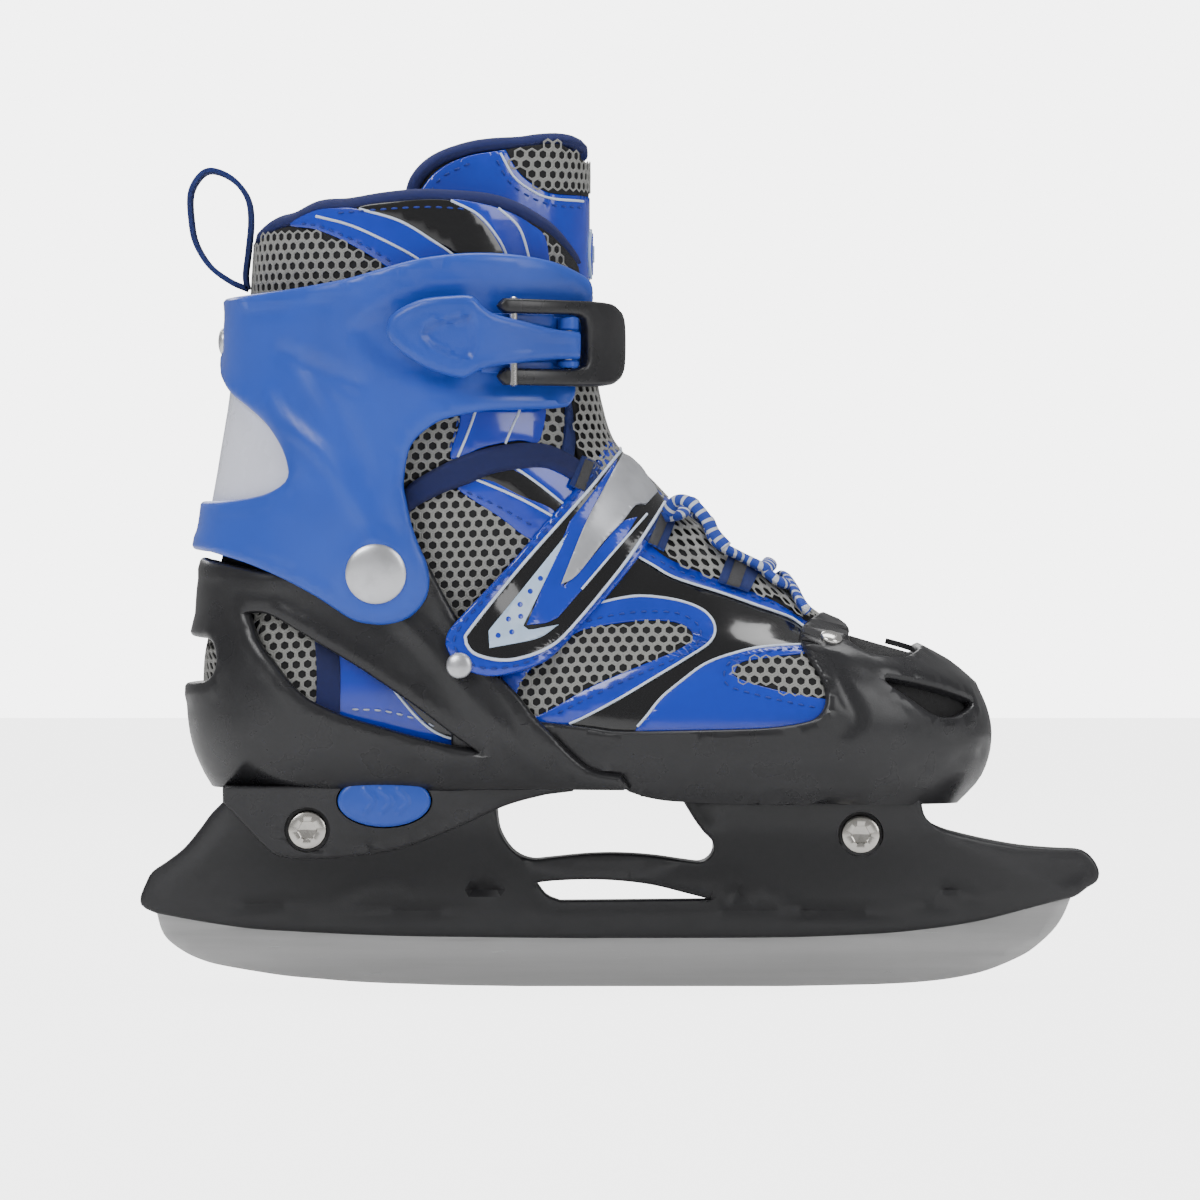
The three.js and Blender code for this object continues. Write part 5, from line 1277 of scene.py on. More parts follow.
def weave(name, outline, level, how, flat=foot_flat, slot="liner_fabric", sides=("outer", "inner")):
    """The open net inside an outline, over a dark backing, on both sides."""
    for word in sides:
        points = outline if isinstance(outline, np.ndarray) else curve_through(outline, 1.6, closed=True)
        places = on_side(points, PATCH + level)
        if word == "inner":
            places = mirror_turn(places)
        backing = sheet(f"{name}_backing_{word}", [places], PATCH + level - 0.45, PATCH + level, "backing",
            3.5, 0.2)
        settle(backing, how, slot)
        mesh = net(f"{name}_{word}", places, PATCH + level + 0.05, "yarn", flat)
        if mesh is not None:
            settle(mesh, how, slot)


def trim(name, points, level, how, look="line", slot="liner_fabric", sides=(OUTER, INNER)):
    radius = bpy.context.scene.skate.line_radius / MM
    for side in sides:
        word = "outer" if side == OUTER else "inner"
        settle(piping(f"{name}_{word}", points, PATCH + level, look, side, radius), how, slot)


def sew(name, points, level, how, look="blue_thread", slot="liner_fabric", sides=(OUTER, INNER)):
    for side in sides:
        word = "outer" if side == OUTER else "inner"
        settle(stitches(f"{name}_{word}", points, PATCH + level, look, side), how, slot)


VAMP_NET = [(-30, 84), (-30, 90), (-25, 97), (-20, 101), (-12, 106.5), (0, 109), (10, 109.7), (17, 109),
    (21, 106.5), (21, 104), (17, 101), (10, 98), (0, 94), (-10, 89.5), (-25, 81.5)]
VAMP_RING = [(-34, 86), (-36, 96), (-26, 106), (-12, 113.5), (0, 116.4), (8, 117), (18, 115.5), (25, 112.5),
    (28, 108), (26.5, 103.5), (20, 99), (10, 93), (0, 87), (-10, 81.6), (-15, 79.3), (-22, 77), (-30, 78)]
TOE_NET = [(33.6, 93.4), (34, 95.4), (36, 97.5), (42, 98.5), (50, 99.5), (56, 99.6), (60, 96), (62.5, 91),
    (62, 87), (59, 86.8), (52, 88), (45, 89.5), (38, 91.5)]
TOE_BLUE = [[(66, 101), (60, 102.6), (54, 102.7), (42, 102), (33, 100), (25, 97), (18, 92), (12, 87), (8,
    82), (5, 78.5), (3, 74)], [(3, 74), (66, 74)], [(66, 74), (66, 101)]]
VAMP_EDGE = [(1, 133), (5, 129), (10, 126), (15, 123), (22, 120.5), (30, 118), (40, 114.5), (50, 111), (54,
    108.5), (60, 104)]
VAMP_TOP = [(5, 137), (9, 132), (15, 127.5), (25, 124), (35, 119.5), (45, 116.5), (52, 112.5), (57, 109),
    (63, 105)]


def build_vamp():
    black = runs([(-34, 74), (66, 74)], [(66, 74), (66, 101)], [(66, 101), (60, 104)], VAMP_EDGE[::-1], [(1,
        133), (-14, 118), (-30, 102), (-38, 92)], [(-38, 92), (-34, 74)])
    patch("vamp_black", black, 0.0, "black", "vamp", 0.4, spacing=2.4)
    patch("vamp_ring", VAMP_RING, 0.5, "blue", "vamp", 0.55, [VAMP_NET])
    patch("vamp_toe_blue", runs(*TOE_BLUE), 0.5, "blue", "vamp", 0.45, [TOE_NET])
    band = np.concatenate([curve_through(VAMP_EDGE, 1.6), curve_through(VAMP_TOP, 1.6)[::-1]])
    patch("vamp_border", band, 0.4, "blue", "vamp", 0.6)
    weave("vamp_net", VAMP_NET, 0.5, "vamp")
    weave("toe_net", TOE_NET, 0.5, "vamp")
    trim("vamp_ring_line", VAMP_RING[3:15], 1.0, "vamp")
    trim("vamp_toe_line", TOE_BLUE[0][:-1], 0.9, "vamp")
    trim("vamp_edge_line", VAMP_EDGE, 0.95, "vamp")
    inner_ring = [(-24, 99.5), (-18, 104.6), (-10, 109.3), (0, 111.6), (10, 112.4), (18, 111.5), (23.2,
        108), (23, 103.6), (18, 99.4), (10, 95.8), (0, 91.4), (-10, 86.6), (-20, 81.6)]
    sew("vamp_ring_stitch", inner_ring, 1.05, "vamp")
    sew("toe_net_stitch", [(58, 101.4), (50, 101.4), (42, 100.4), (35, 99), (31.4, 96.4), (30.6, 93), (32,
        90.4), (38, 88.4), (48, 86), (58, 84)], 0.95, "vamp")
    sew("vamp_edge_stitch", [(3.5, 134), (8, 129.8), (15, 125.5), (25, 121.4), (35, 118), (45, 115), (52,
        111.5), (58, 107)], 1.0, "vamp")


ANKLE_TOP = [(-64, 148), (-61, 151), (-50, 157), (-40, 160.5), (-30, 162.3), (-22, 162), (-15, 159), (-9,
    154.5)]
ANKLE_LOW = [(-64, 140), (-60, 143.5), (-52, 147.5), (-45, 150), (-38, 153), (-30, 154.5), (-22, 155), (-15,
    152), (-11, 148.5)]


def build_ankle():
    net_low = [(-66, 138), (-60, 143), (-53, 147), (-44, 146.6), (-34, 141), (-26, 134), (-36, 122), (-47,
        109), (-52, 102), (-60, 112), (-68, 126)]
    weave("ankle_net", net_low, 0.1, "ankle")
    blue = [(-48, 149.4), (-40, 151.6), (-30, 147), (-19, 141.5), (-24, 134), (-28, 134.5), (-36, 140.5),
        (-46, 147)]
    patch("ankle_blue", blue, 0.35, "blue", "ankle", 0.5)
    dark = [(-44, 152.5), (-34, 155.4), (-26, 155), (-14, 146.5), (-19, 139.5), (-30, 146), (-40, 151)]
    patch("ankle_black", dark, 0.25, "black", "ankle", 0.5)
    edge = [(-33, 155.6), (-24, 150), (-16, 143.6), (-12, 147), (-9, 151), (-16, 155), (-24, 157)]
    patch("ankle_front_blue", edge, 0.45, "blue", "ankle", 0.5)
    trim("ankle_line_low", [(-43, 151.6), (-30, 146), (-19, 140)], 0.9, "ankle")
    trim("ankle_line_top", [(-31, 155), (-24, 150), (-16, 143.6)], 0.95, "ankle")
    sew("ankle_stitch", [(-46, 148), (-36, 143.4), (-24, 136.6)], 0.85, "ankle")
    band = np.concatenate([curve_through(ANKLE_TOP, 1.6), curve_through(ANKLE_LOW, 1.6)[::-1]])
    for word in ("outer", "inner"):
        places = on_side(band, 1.4)
        tape = sheet(f"ankle_band_{word}", [places if word == "outer" else mirror_turn(places)], 0.2, 2.5,
            "binding", 1.8, 1.3, lambda x, z, e, t: 0.35 * np.exp(-((e - 1.2) / 0.8) ** 2))
        settle(tape, "ankle", "liner_fabric")
    weave("quarter_net", [(-68, 146), (-62, 151), (-56, 154.5), (-50, 158), (-47, 168), (-46, 178), (-68,
        178)], 0.1, "ankle")
    high = [(-50, 157.5), (-40, 161), (-30, 163), (-24, 163), (-24, 178), (-46, 178), (-47.5, 168)]
    patch("quarter_blue", high, 0.35, "blue", "ankle", 0.5)
    trim("quarter_line_a", [(-48, 158), (-45.5, 164), (-43, 171), (-41.5, 177)], 0.85, "ankle")
    trim("quarter_line_b", [(-34, 162), (-32, 167), (-30, 171.5), (-28.5, 177)], 0.85, "ankle")
    sew("quarter_stitch", [(-50.5, 160), (-48.6, 166), (-47, 174)], 0.85, "ankle")
    weave("quarter_front_net", [(-24.5, 161), (-17, 159), (-16, 166), (-15, 178), (-24, 178)], 0.1, "ankle")
    tape = [(-17.4, 158), (-14.4, 157), (-13.4, 166), (-12.6, 178), (-15.6, 178), (-16.6, 166)]
    patch("quarter_front_binding", tape, 0.6, "tape", "ankle", 0.9, spacing=1.4)


def build_heel_window():
    weave("heel_net", [(-112, 118), (-92, 112), (-88, 100), (-87, 84), (-100, 86), (-112, 98)], 0.1,
        "chassis")
    patch("heel_tape", runs([(-93, 116), (-90, 100), (-90, 80)], [(-90, 80), (-83, 78)], [(-83, 78), (-83,
        98), (-86, 114)], [(-86, 114), (-93, 116)]), 0.5, "binding", "chassis", 1.0, spacing=1.8)
    patch("heel_blue", [(-84, 108), (-66, 100), (-50, 84), (-38, 70), (-60, 70), (-84, 76)], 0.35, "blue",
        "chassis", 0.5)
    patch("heel_black", [(-74, 100), (-64, 96), (-50, 82), (-44, 74), (-56, 78)], 0.9, "black", "chassis",
        0.35)
    trim("heel_line", [(-76, 101), (-58, 79), (-44, 73)], 1.25, "chassis")
    sew("heel_stitch", [(-80, 83.5), (-70, 83), (-60, 80.5), (-54, 78)], 1.3, "chassis", "thread")
    near = [(-128, 108), (-118, 108), (-114, 98), (-118, 88), (-128, 88)]
    places = round_back(curve_through(near, 1.6), PATCH)
    backing = sheet("heel_notch_backing", [places], -0.2, PATCH, "backing", 3, 0.2)
    settle(backing, "chassis", "liner_fabric")
    settle(net("heel_notch_net", places, PATCH + 0.05, "yarn", shaft_flat), "chassis", "liner_fabric")


COLLAR_TOP = [(-107, 222), (-105, 225), (-100, 228.2), (-95, 229.3), (-88, 232.4), (-80, 232.8), (-70,
    234.3), (-60, 235.2), (-50, 235), (-40, 234.3), (-33, 232.5), (-27, 229.5), (-22, 226), (-17, 220),
    (-14, 214.5)]


def build_collar():
    near = np.concatenate([curve_through(COLLAR_TOP, 2)[:-1], curve_through([(-14, 214.5), (-12.5, 200),
        (-11.5, 177.8)], 2)[:-1], curve_through([(-11.5, 177.8), (-60, 177.8), (-110, 177.8)], 3)])

    def swell(x, z, edge, turn):
        return 0.9 * ramp(0, 9, edge) * ramp(196, 224, z) + 0.5 * np.sin(z * 0.42 + x * 0.06) * ramp(3, 9,
            edge)
    pad = sheet("collar_pad", [round_back(near, -3)], -6, -0.2, "lining", 2.8, 2.6, swell, under=True)
    puff(pad, 0.8)
    settle(pad, "cuff", "liner_fabric", "liner_collar")

    net_outline = round_back(curve_through([(-109, 221.5), (-104, 225.2), (-97, 226.6), (-90, 224), (-80,
        219.8), (-66, 212.6), (-62, 203)], 1.6).tolist() + curve_through([(-62, 203), (-112, 203)],
        4).tolist(), PATCH + 0.7)
    backing = sheet("collar_net_backing", [net_outline], 0.1, 0.9, "backing", 3.2, 0.2)
    settle(backing, "cuff", "liner_fabric")
    settle(net("collar_net", net_outline, 0.95, "yarn", shaft_flat), "cuff", "liner_fabric")
    up = 0.75
    patch("collar_blue", [(-98, 227), (-91, 230.8), (-84, 231.6), (-77, 231.2), (-65, 227.5), (-55, 221.5),
        (-47, 215.5), (-44, 205), (-60, 205), (-69, 214), (-80, 221), (-90, 225.4)], up, "blue", "cuff")
    patch("collar_black", [(-78, 231.4), (-65, 233.4), (-50, 233.6), (-42, 229.5), (-36, 222.5), (-32, 214),
        (-32, 205), (-46, 205), (-49, 217.7), (-55, 221.5), (-65, 227.5)], up, "black", "cuff")
    patch("collar_front_blue", [(-50, 233.8), (-42, 233), (-34, 231), (-27, 227.4), (-22, 222), (-22, 205),
        (-33, 205), (-34, 216), (-38, 224), (-43, 229.4)], up + 0.15, "blue", "cuff")
    weave("collar_front_net", [(-23, 224), (-18, 219), (-14.6, 212), (-13.6, 204), (-22.6, 204)], up,
        "cuff", shaft_flat)
    trim("collar_line_a", [(-90, 229.3), (-80, 226.5), (-70, 222), (-60, 216.5), (-52, 210)], up + 0.5,
        "cuff")
    trim("collar_line_b", [(-77, 231.2), (-65, 227.5), (-55, 221.5), (-49, 217.2), (-44, 211)], up + 0.5,
        "cuff")
    trim("collar_line_c", [(-50, 233.6), (-42, 229.5), (-36, 222.5), (-33, 216), (-31, 209)], up + 0.6,
        "cuff")
    trim("collar_line_d", [(-36, 231.6), (-30, 226), (-27, 217), (-26, 210)], up + 0.65, "cuff")
    sew("collar_stitch", [(-95, 227.4), (-88, 226), (-78, 221.6), (-68, 215.8), (-62, 210.5)], up + 0.55,
        "cuff")
    sew("collar_top_stitch", [(-84, 230), (-70, 231), (-56, 231.6), (-44, 231)], up + 0.6, "cuff")

    top = curve_through(COLLAR_TOP, 1.5) - [0, 0.6]
    places = round_back(top, -2.8)
    half = (len(places) + 2) // 2
    places = np.roll(places, half, axis=0)
    path = on_form(places[:, 0], places[:, 1], np.full(len(places), -2.8))
    start = np.argmax(np.linalg.norm(np.roll(path, -1, axis=0) - path, axis=1))
    path = np.roll(path, -start - 1, axis=0)
    tape = sweep("collar_binding", path, circle(3.9, 16, 0.66), "binding", up=np.tile([0, 0, 1.0],
        (len(path), 1)))
    settle(tape, "cuff", "liner_fabric")


def puff(obj, reach):
    """Blows the padding up a little as a cloth, so that it swells and creases between its seams."""
    mesh = obj.data
    rest = np.empty(len(mesh.vertices) * 3)
    mesh.vertices.foreach_get("co", rest)
    scene = bpy.context.scene
    cloth = obj.modifiers.new("Cloth", "CLOTH")
    cloth.settings.quality = 4
    cloth.settings.mass = 0.3
    cloth.settings.tension_stiffness = 12
    cloth.settings.compression_stiffness = 12
    cloth.settings.shear_stiffness = 8
    cloth.settings.bending_stiffness = 1.2
    cloth.settings.use_pressure = True
    cloth.settings.uniform_pressure_force = 3.5
    cloth.settings.effector_weights.gravity = 0
    cloth.collision_settings.use_collision = False
    cloth.collision_settings.use_self_collision = False
    for frame_number in range(1, 13):
        scene.frame_set(frame_number)
    shape = obj.evaluated_get(bpy.context.evaluated_depsgraph_get()).data
    moved = np.empty(len(rest))
    shape.vertices.foreach_get("co", moved)
    obj.modifiers.remove(cloth)
    scene.frame_set(1)
    step = (moved - rest).reshape(-1, 3)
    if not np.isfinite(step).all():
        raise RuntimeError(f"the cloth of {obj.name} ran away")
    length = np.linalg.norm(step, axis=1, keepdims=True)
    step *= np.minimum(1, reach * MM / np.maximum(length, 1e-9))
    mesh.vertices.foreach_set("co", (rest.reshape(-1, 3) + step).ravel())
    mesh.update()


# ---------------------------------------------------------------- tongue
TONGUE_EDGE = [(-62, 233), (-61, 239), (-58, 243.5), (-53, 247), (-45, 249.8), (-38, 251), (-30, 251.6),
    (-24, 252.6), (-18, 253), (-14, 252), (-11.4, 249)]


def build_tongue():
    current["tongue"] = True

    def flat(turn, level):
        return np.stack([np.asarray(turn) * 19.5, np.asarray(level, float)], -1)

    def whole(points, height):
        near = on_side(points, height)
        near[0, 0] = near[-1, 0] = 0
        return np.concatenate([near, near[1:-1][::-1] * [-1, 1]])
    outline = curve_through(TONGUE_EDGE, 2)[::-1]
    near = np.concatenate([[(-10, 249)], outline, curve_through([(-62, 232), (-62, 205), (-62, 178)], 3),
        curve_through([(-58, 178), (-30, 178), (-10, 178)], 3)])

    def swell(x, z, edge, turn):
        return 0.5 * ramp(0, 10, edge) * (1 + np.sin(z * 0.33 + 0.8))
    pad = sheet("tongue_pad", [whole(near, -3)], -5.6, -1.6, "lining", 2.8, 2.4, swell, uv=lambda p, t,
        l: flat(t, l), under=True)
    puff(pad, 0.8)
    settle(pad, "cuff", "tongue_fabric", "tongue_upper")
    mesh_edge = curve_through([(-34, 249.6), (-30, 243), (-25, 239), (-20, 236.9), (-10, 236.6)], 1.4)
    front = np.concatenate([mesh_edge[::-1], curve_through([(-34, 249.6), (-26, 251), (-18, 251.6), (-12,
        248.5), (-10, 246)], 1.6)])
    region = whole(front, 0.9)
    backing = sheet("tongue_net_backing", [region], 0.1, 0.7, "backing", 2.6, 0.2)
    settle(backing, "cuff", "tongue_fabric")
    settle(net("tongue_net", region, 0.75, "yarn", flat), "cuff", "tongue_fabric")
    blue_near = np.concatenate([mesh_edge[::-1], curve_through([(-34, 249.6), (-45, 247.6), (-53, 244),
        (-58, 239), (-60.5, 232), (-60.5, 206)], 1.8), curve_through([(-58, 204), (-30, 204), (-10, 204)],
        3)])
    coat = sheet("tongue_blue", [whole(blue_near, 0.9)], 0.2, 1.0, "blue", 2.6, 0.5, uv=lambda p, t,
        l: flat(t, l))
    settle(coat, "cuff", "tongue_fabric")
    for word, s in (("outer", OUTER), ("inner", INNER)):
        line = piping(f"tongue_line_{word}", [(-35.6, 248.6), (-31.6, 241.6), (-26.4, 237.6), (-20.6,
            235.4), (-11, 235)], 1.1, "line", s, 0.4)
        settle(line, "cuff", "tongue_fabric")
        row = stitches(f"tongue_stitch_{word}", [(-37, 247), (-33, 240), (-27, 235.8), (-20, 233.4), (-11,
            233)], 1.05, "blue_thread", s)
        settle(row, "cuff", "tongue_fabric")
        row = stitches(f"tongue_side_stitch_{word}", [(-44, 245.6), (-53, 241), (-57, 234), (-57.6, 220)],
            1.05, "blue_thread", s)
        settle(row, "cuff", "tongue_fabric")
    badge_t = np.arange(40) * 2 * math.pi / 40
    for name, radius, low, high, look in (("badge_rim", 7.6, 0.9, 1.7, "pale"), ("badge_field", 6.4, 1.5,
            2.0, "blue"), ("badge_core", 2.6, 1.9, 2.4, "pale")):
        ring = np.stack([np.cos(badge_t) * radius / 26, 219.5 + np.sin(badge_t) * radius], -1)
        disc = sheet(f"tongue_{name}", [ring], low, high, look, 1.6, 0.3)
        settle(disc, "cuff", "tongue_fabric")
    top = curve_through(TONGUE_EDGE, 1.5)
    places = on_side(top, -3)
    places[-1, 0] = 0
    places = np.concatenate([places, places[:-1][::-1] * [-1, 1]])
    path = on_form(places[:, 0], places[:, 1], np.full(len(places), -3.0))
    tape = sweep("tongue_binding", path, circle(3.4, 16, 0.66), "binding", up=np.tile([0, 0, 1.0],
        (len(path), 1)))
    settle(tape, "cuff", "tongue_fabric")
    current["tongue"] = False

    def strip(name, points, how, low, high, *nodes):
        region_low = round_front(points, 1.5)
        base = sheet(f"{name}_pad", [region_low], low, high, "backing", 2.4, 1.4, lambda x, z, e, t: 0.5
            * np.sin(z * 0.55) * ramp(1, 5, e))
        settle(base, how, "tongue_fabric", *nodes)
        settle(net(f"{name}_net", region_low, high + 0.55, "yarn", shaft_flat), how, "tongue_fabric")
        return base
    lower = curve_through([(8, 149), (2, 141), (6, 134.6), (14, 128.4), (25, 123.4), (45, 116), (56, 109.4),
        (61, 110.5)], 1.6)
    strip("tongue_lower", lower, "vamp", -0.3, 1.6, "tongue_lower")
    high = curve_through([(-7.5, 186), (-15.4, 184), (-14.4, 172), (-13.4, 163), (-11, 156), (-6, 148), (3,
        141), (12, 147)], 1.6)
    strip("tongue_ankle", high, "ankle", -0.3, 2.2)


# ---------------------------------------------------------------- power strap
def strap_bed(x, z, turn=None):
    beyond = ((x + 57) * 51 + (z - 127) * 37) / 63
    return 5.9 * (1 - ramp(2, 22, beyond))


def strap_height(height):
    return lambda x, z: height + strap_bed(x, z)


STRAP_UP = [(-51.5, 102.5), (-51, 106), (-47, 111), (-36, 122.6), (-26, 134), (-10, 153), (-3.5, 165)]
STRAP_DOWN = [(16.5, 147), (14, 142), (8, 132), (0, 121.5), (-10, 110), (-20, 99.5), (-25, 96.5), (-32,
    94.2), (-38, 93.3), (-44, 94.5), (-49, 97.5), (-51.5, 102.5)]


def build_strap():
    up = curve_through(STRAP_UP, 2)
    down = curve_through(STRAP_DOWN, 2)
    height = strap_height(1.7)
    near = on_side(np.concatenate([down[:-1], up]), height)
    near[0, 0] = near[-1, 0] = 0
    far_up = on_side(curve_through([(-3.5, 165), (-10, 153), (-26, 134), (-28.9, 130.4)], 2)[1:], height)
    far_down = on_side(curve_through([(-9, 112.4), (-4, 117), (8, 132), (14, 142), (16.5, 147)], 2)[:-1],
        height)
    outline = np.concatenate([near, far_up * [-1, 1], far_down * [-1, 1]])
    band = sheet("power_strap_band", [outline], 0.6, 2.8, "blue", 2.2, 0.7, lambda x, z, e, t: 0.35
        * np.exp(-((e - 2) / 1.2) ** 2), strap_bed)
    settle(band, "chassis", "strap_fabric", "power_strap")

    def over(name, points, low, high, look, closed=True):
        ring = points if isinstance(points, np.ndarray) else curve_through(points, 1.4, closed=closed)
        obj = sheet(f"strap_{name}", [on_side(ring, strap_height(low + 0.3))], low, high, look, 1.1, 0.2,
            None, strap_bed)
        return settle(obj, "chassis", "strap_fabric")

    line = [(1, 161.4), (-8, 150), (-15, 142), (-30, 125), (-44, 107.5), (-45.6, 104.4), (-44.6, 101.6),
        (-42, 99.6), (-36, 98.2), (-30, 98.6), (-22, 101.4), (-15, 107), (0, 125), (9, 138), (13.4, 145)]
    over("black", np.concatenate([curve_through(line, 1.4), [(9.5, 150.5)], [(5, 156.5)]]), 2.6, 3.25,
        "black")
    edge = piping("strap_outline", line, strap_height(3.35), "line", OUTER, 0.5)
    settle(edge, "chassis", "strap_fabric")
    over("pale", runs([(-38.8, 106.8), (-38.6, 101.6)], [(-38.6, 101.6), (-24.6, 104.4), (-18.2, 108.5)],
        [(-18.2, 108.5), (-22, 107.8), (-27, 107), (-28.6, 108.2)], [(-28.6, 108.2), (-15, 136.5)], [(-15,
        136.5), (-38.8, 106.8)]), 2.9, 3.75, "pale")
    over("blue_spike", runs([(-27.6, 108.4), (-22, 109), (-18.4, 110.6)], [(-18.4, 110.6), (-1, 131), (5,
        140.4)], [(5, 140.4), (0, 138.4), (-8, 129), (-17, 119.6)], [(-17, 119.6), (-9, 139), (-3, 150),
        (-1, 158)], [(-1, 158), (-8, 148), (-15, 139)], [(-15, 139), (-27.6, 108.4)]), 2.9, 3.65, "blue")
    over("silver", runs([(-17.6, 120.4), (-13, 123), (-5, 133), (0.5, 138.8)], [(0.5, 138.8), (4.6, 144),
        (7.6, 144.2)], [(7.6, 144.2), (11, 148)], [(11, 148), (4.6, 157.6)], [(4.6, 157.6), (0.6, 159.4)],
        [(0.6, 159.4), (-5, 149), (-10.6, 138), (-17.6, 120.4)]), 3.1, 4.1, "silver")
    thin = piping("strap_thin_line", [(-11.4, 119), (-2, 130), (8, 141.4)], strap_height(3.75), "line",
        OUTER, 0.38)
    settle(thin, "chassis", "strap_fabric")
    for k, (x, z) in enumerate([(-36, 105.4), (-32, 106.4), (-33, 110.2), (-29.4, 111), (-29.6, 114.5),
            (-26.6, 118.4), (-23.6, 122.2)]):
        over(f"dot_{k}", oval(x, z, 0.8, 0.8, 12), 3.5, 3.95, "blue")
    rows = [[(-2.4, 163), (-9, 152), (-25, 133), (-35, 121.6), (-46, 109.4), (-49, 104), (-47.6, 100),
        (-43.6, 96.8), (-38, 95.6), (-31, 96.4), (-24.6, 98.8), (-18, 103), (-8, 114), (1.5, 125.6), (9.6,
        136.4), (15, 145)]]
    for k, row in enumerate(rows):
        settle(stitches(f"strap_stitch_{k}", row, strap_height(3.1), "blue_thread"), "chassis",
            "strap_fabric")

    def along(points):
        return np.array([(-47.5 + s * 0.68 - t * 0.733, 96.5 + s * 0.733 + t * 0.68) for s, t in points])
    web = along(straight((-6, -9), (-6, 9), (-4, 11), (28, 11), (28, -11), (-4, -11)).tolist())
    anchor = sheet("ring_webbing_band", [mirror_turn(on_side(web, strap_height(1.6)))], 0.6, 2.6, "tape",
        2.4, 0.6, None, strap_bed)
    settle(anchor, "chassis", "strap_fabric", "ring_webbing")
    outer_ring = along(straight((27, -16), (27, 16), (37, 16), (37, -16)).tolist())
    hole = along(straight((29.5, -12.5), (29.5, 12.5), (34.5, 12.5), (34.5, -12.5)).tolist())
    ring = sheet("strap_ring_frame", [mirror_turn(on_side(outer_ring, strap_height(1.9))),
        mirror_turn(on_side(hole, strap_height(1.9)))], 0.4, 3.4, "trim", 1.6, 0.9, None, strap_bed)
    settle(ring, "chassis", "trim_black", "strap_ring")


# ---------------------------------------------------------------- laces and loops
def build_laces():
    tabs = {"upper": [(6, 134), (11.5, 143.5), (17, 141), (13, 130.4)], "lower": [(29, 121.4), (33, 131),
        (42.4, 126.4), (38.4, 118.4)], "ankle": [(-15, 150), (-11.4, 158.6), (-5.6, 156), (-8.6, 146.4)]}
    bars = {"upper": [(8.4, 132.9), (12.6, 142.8), (15.2, 141.6), (11, 131.9)], "lower": [(31.6, 120.6),
        (35, 129.8), (38.6, 128.2), (35.4, 119.6)], "ankle": [(-13.4, 149.4), (-10.4, 157.6), (-7.8, 156.6),
        (-10.6, 148.2)]}
    for place, how in (("upper", "chassis"), ("lower", "chassis"), ("ankle", "ankle")):
        for word in ("outer", "inner"):
            flip = (lambda p: p) if word == "outer" else mirror_turn
            ring = straight(*tabs[place], step=1.2)
            tab = sheet(f"lace_tab_{place}_{word}", [flip(on_side(ring, 2.4))], 1.9, 3.2, "tape", 1.4, 0.4)
            settle(tab, how, "webbing_blue", f"lace_loop_{place}_{word}")
            ring = straight(*bars[place], step=1.2)
            bar = sheet(f"lace_bar_{place}_{word}", [flip(on_side(ring, 3.3))], 3.1, 3.6, "grey", 1.2, 0.15)
            settle(bar, how, "webbing_blue")

    def spot(turn, z, height):
        return on_form(np.array([turn]), np.array([float(z)]), np.array([float(height)]))[0]

    def side_spot(x, z, height, side):
        return line_on(np.array([[x, z]], float), height, side)[0][0]
    rows = [("lace_upper", [side_spot(13, 140.5, 3.9, OUTER), side_spot(18, 141.4, 5.2, OUTER), spot(0.0,
        140, 6.6), side_spot(27, 134, 5.2, INNER), side_spot(35, 128.6, 4.2, INNER)]), ("lace_cross",
        [side_spot(13, 140.5, 3.9, INNER), side_spot(19, 140.0, 5.0, INNER), spot(0.0, 136.4, 5.0),
        side_spot(29, 133, 5.4, OUTER), side_spot(37, 128.2, 4.4, OUTER)]), ("lace_lower", [side_spot(37,
        128.2, 4.4, OUTER), side_spot(43, 125.6, 5.4, OUTER), spot(0.0, 122.5, 5.8), side_spot(43, 125.6,
        5.4, INNER), side_spot(37, 128.2, 4.4, INNER)]), ("lace_front", [side_spot(40, 127, 4.2, OUTER),
        side_spot(47, 121.6, 4.8, OUTER), spot(0.0, 116.5, 4.2), side_spot(54, 115, 4.4, INNER),
        side_spot(56, 112.4, 3.8, INNER)]), ("lace_end", [side_spot(40, 127, 4.2, INNER), side_spot(47,
        121.6, 4.8, INNER), spot(0.0, 118.5, 5.2), side_spot(54, 115, 4.4, OUTER), side_spot(56, 112.4, 3.8,
        OUTER)])]
    for k, (name, points) in enumerate(rows):
        path = curve_through(points, 0.8)
        inward = path - np.array([20, 2.5, 90])
        settle(sweep(name, path, circle(2.3, 12, 0.62), "lace", up=inward), "chassis", "lace_blue",
            *(["lace"] if k == 0 else []))
    for word, s in (("outer", -1), ("inner", 1)):
        bow = curve_through([(14, s * 19, 142), (17, s * 22, 145.4), (21, s * 24.5, 144.6), (25, s * 26,
            140.4), (28, s * 27.4, 135.4), (31.4, s * 28.6, 131.6)], 0.8)
        settle(sweep(f"lace_bow_{word}", bow, circle(2.0, 12, 0.66), "lace", up=np.tile([0.3, s * 0.8, 0.5],
            (len(bow), 1))), "chassis", "lace_blue")


def build_pull_loop():
    outside = curve_through([(-111.6, 209), (-117, 211.4), (-123, 216), (-127.2, 223), (-128.6, 230.5),
        (-128.7, 237.4), (-126.6, 242), (-123.4, 244.4), (-119, 243.6), (-114.6, 240.6), (-111.4, 235.6),
        (-110.6, 229), (-111.4, 220), (-112.2, 213), (-111.6, 209)], 1.0)
    path = np.stack([outside[:, 0], np.zeros(len(outside)), outside[:, 1]], -1)
    middle = np.array([-119.5, 0, 228])
    half = 5.5
    section = [(-half, -0.55), (-half + 0.5, -0.8), (half - 0.5, -0.8), (half, -0.55), (half, 0.55), (half
        - 0.5, 0.8), (-half + 0.5, 0.8), (-half, 0.55)]
    loop = sweep("pull_loop_tape", path, section, "tape", up=path - middle)
    settle(loop, "cuff", "webbing_blue", "pull_loop")


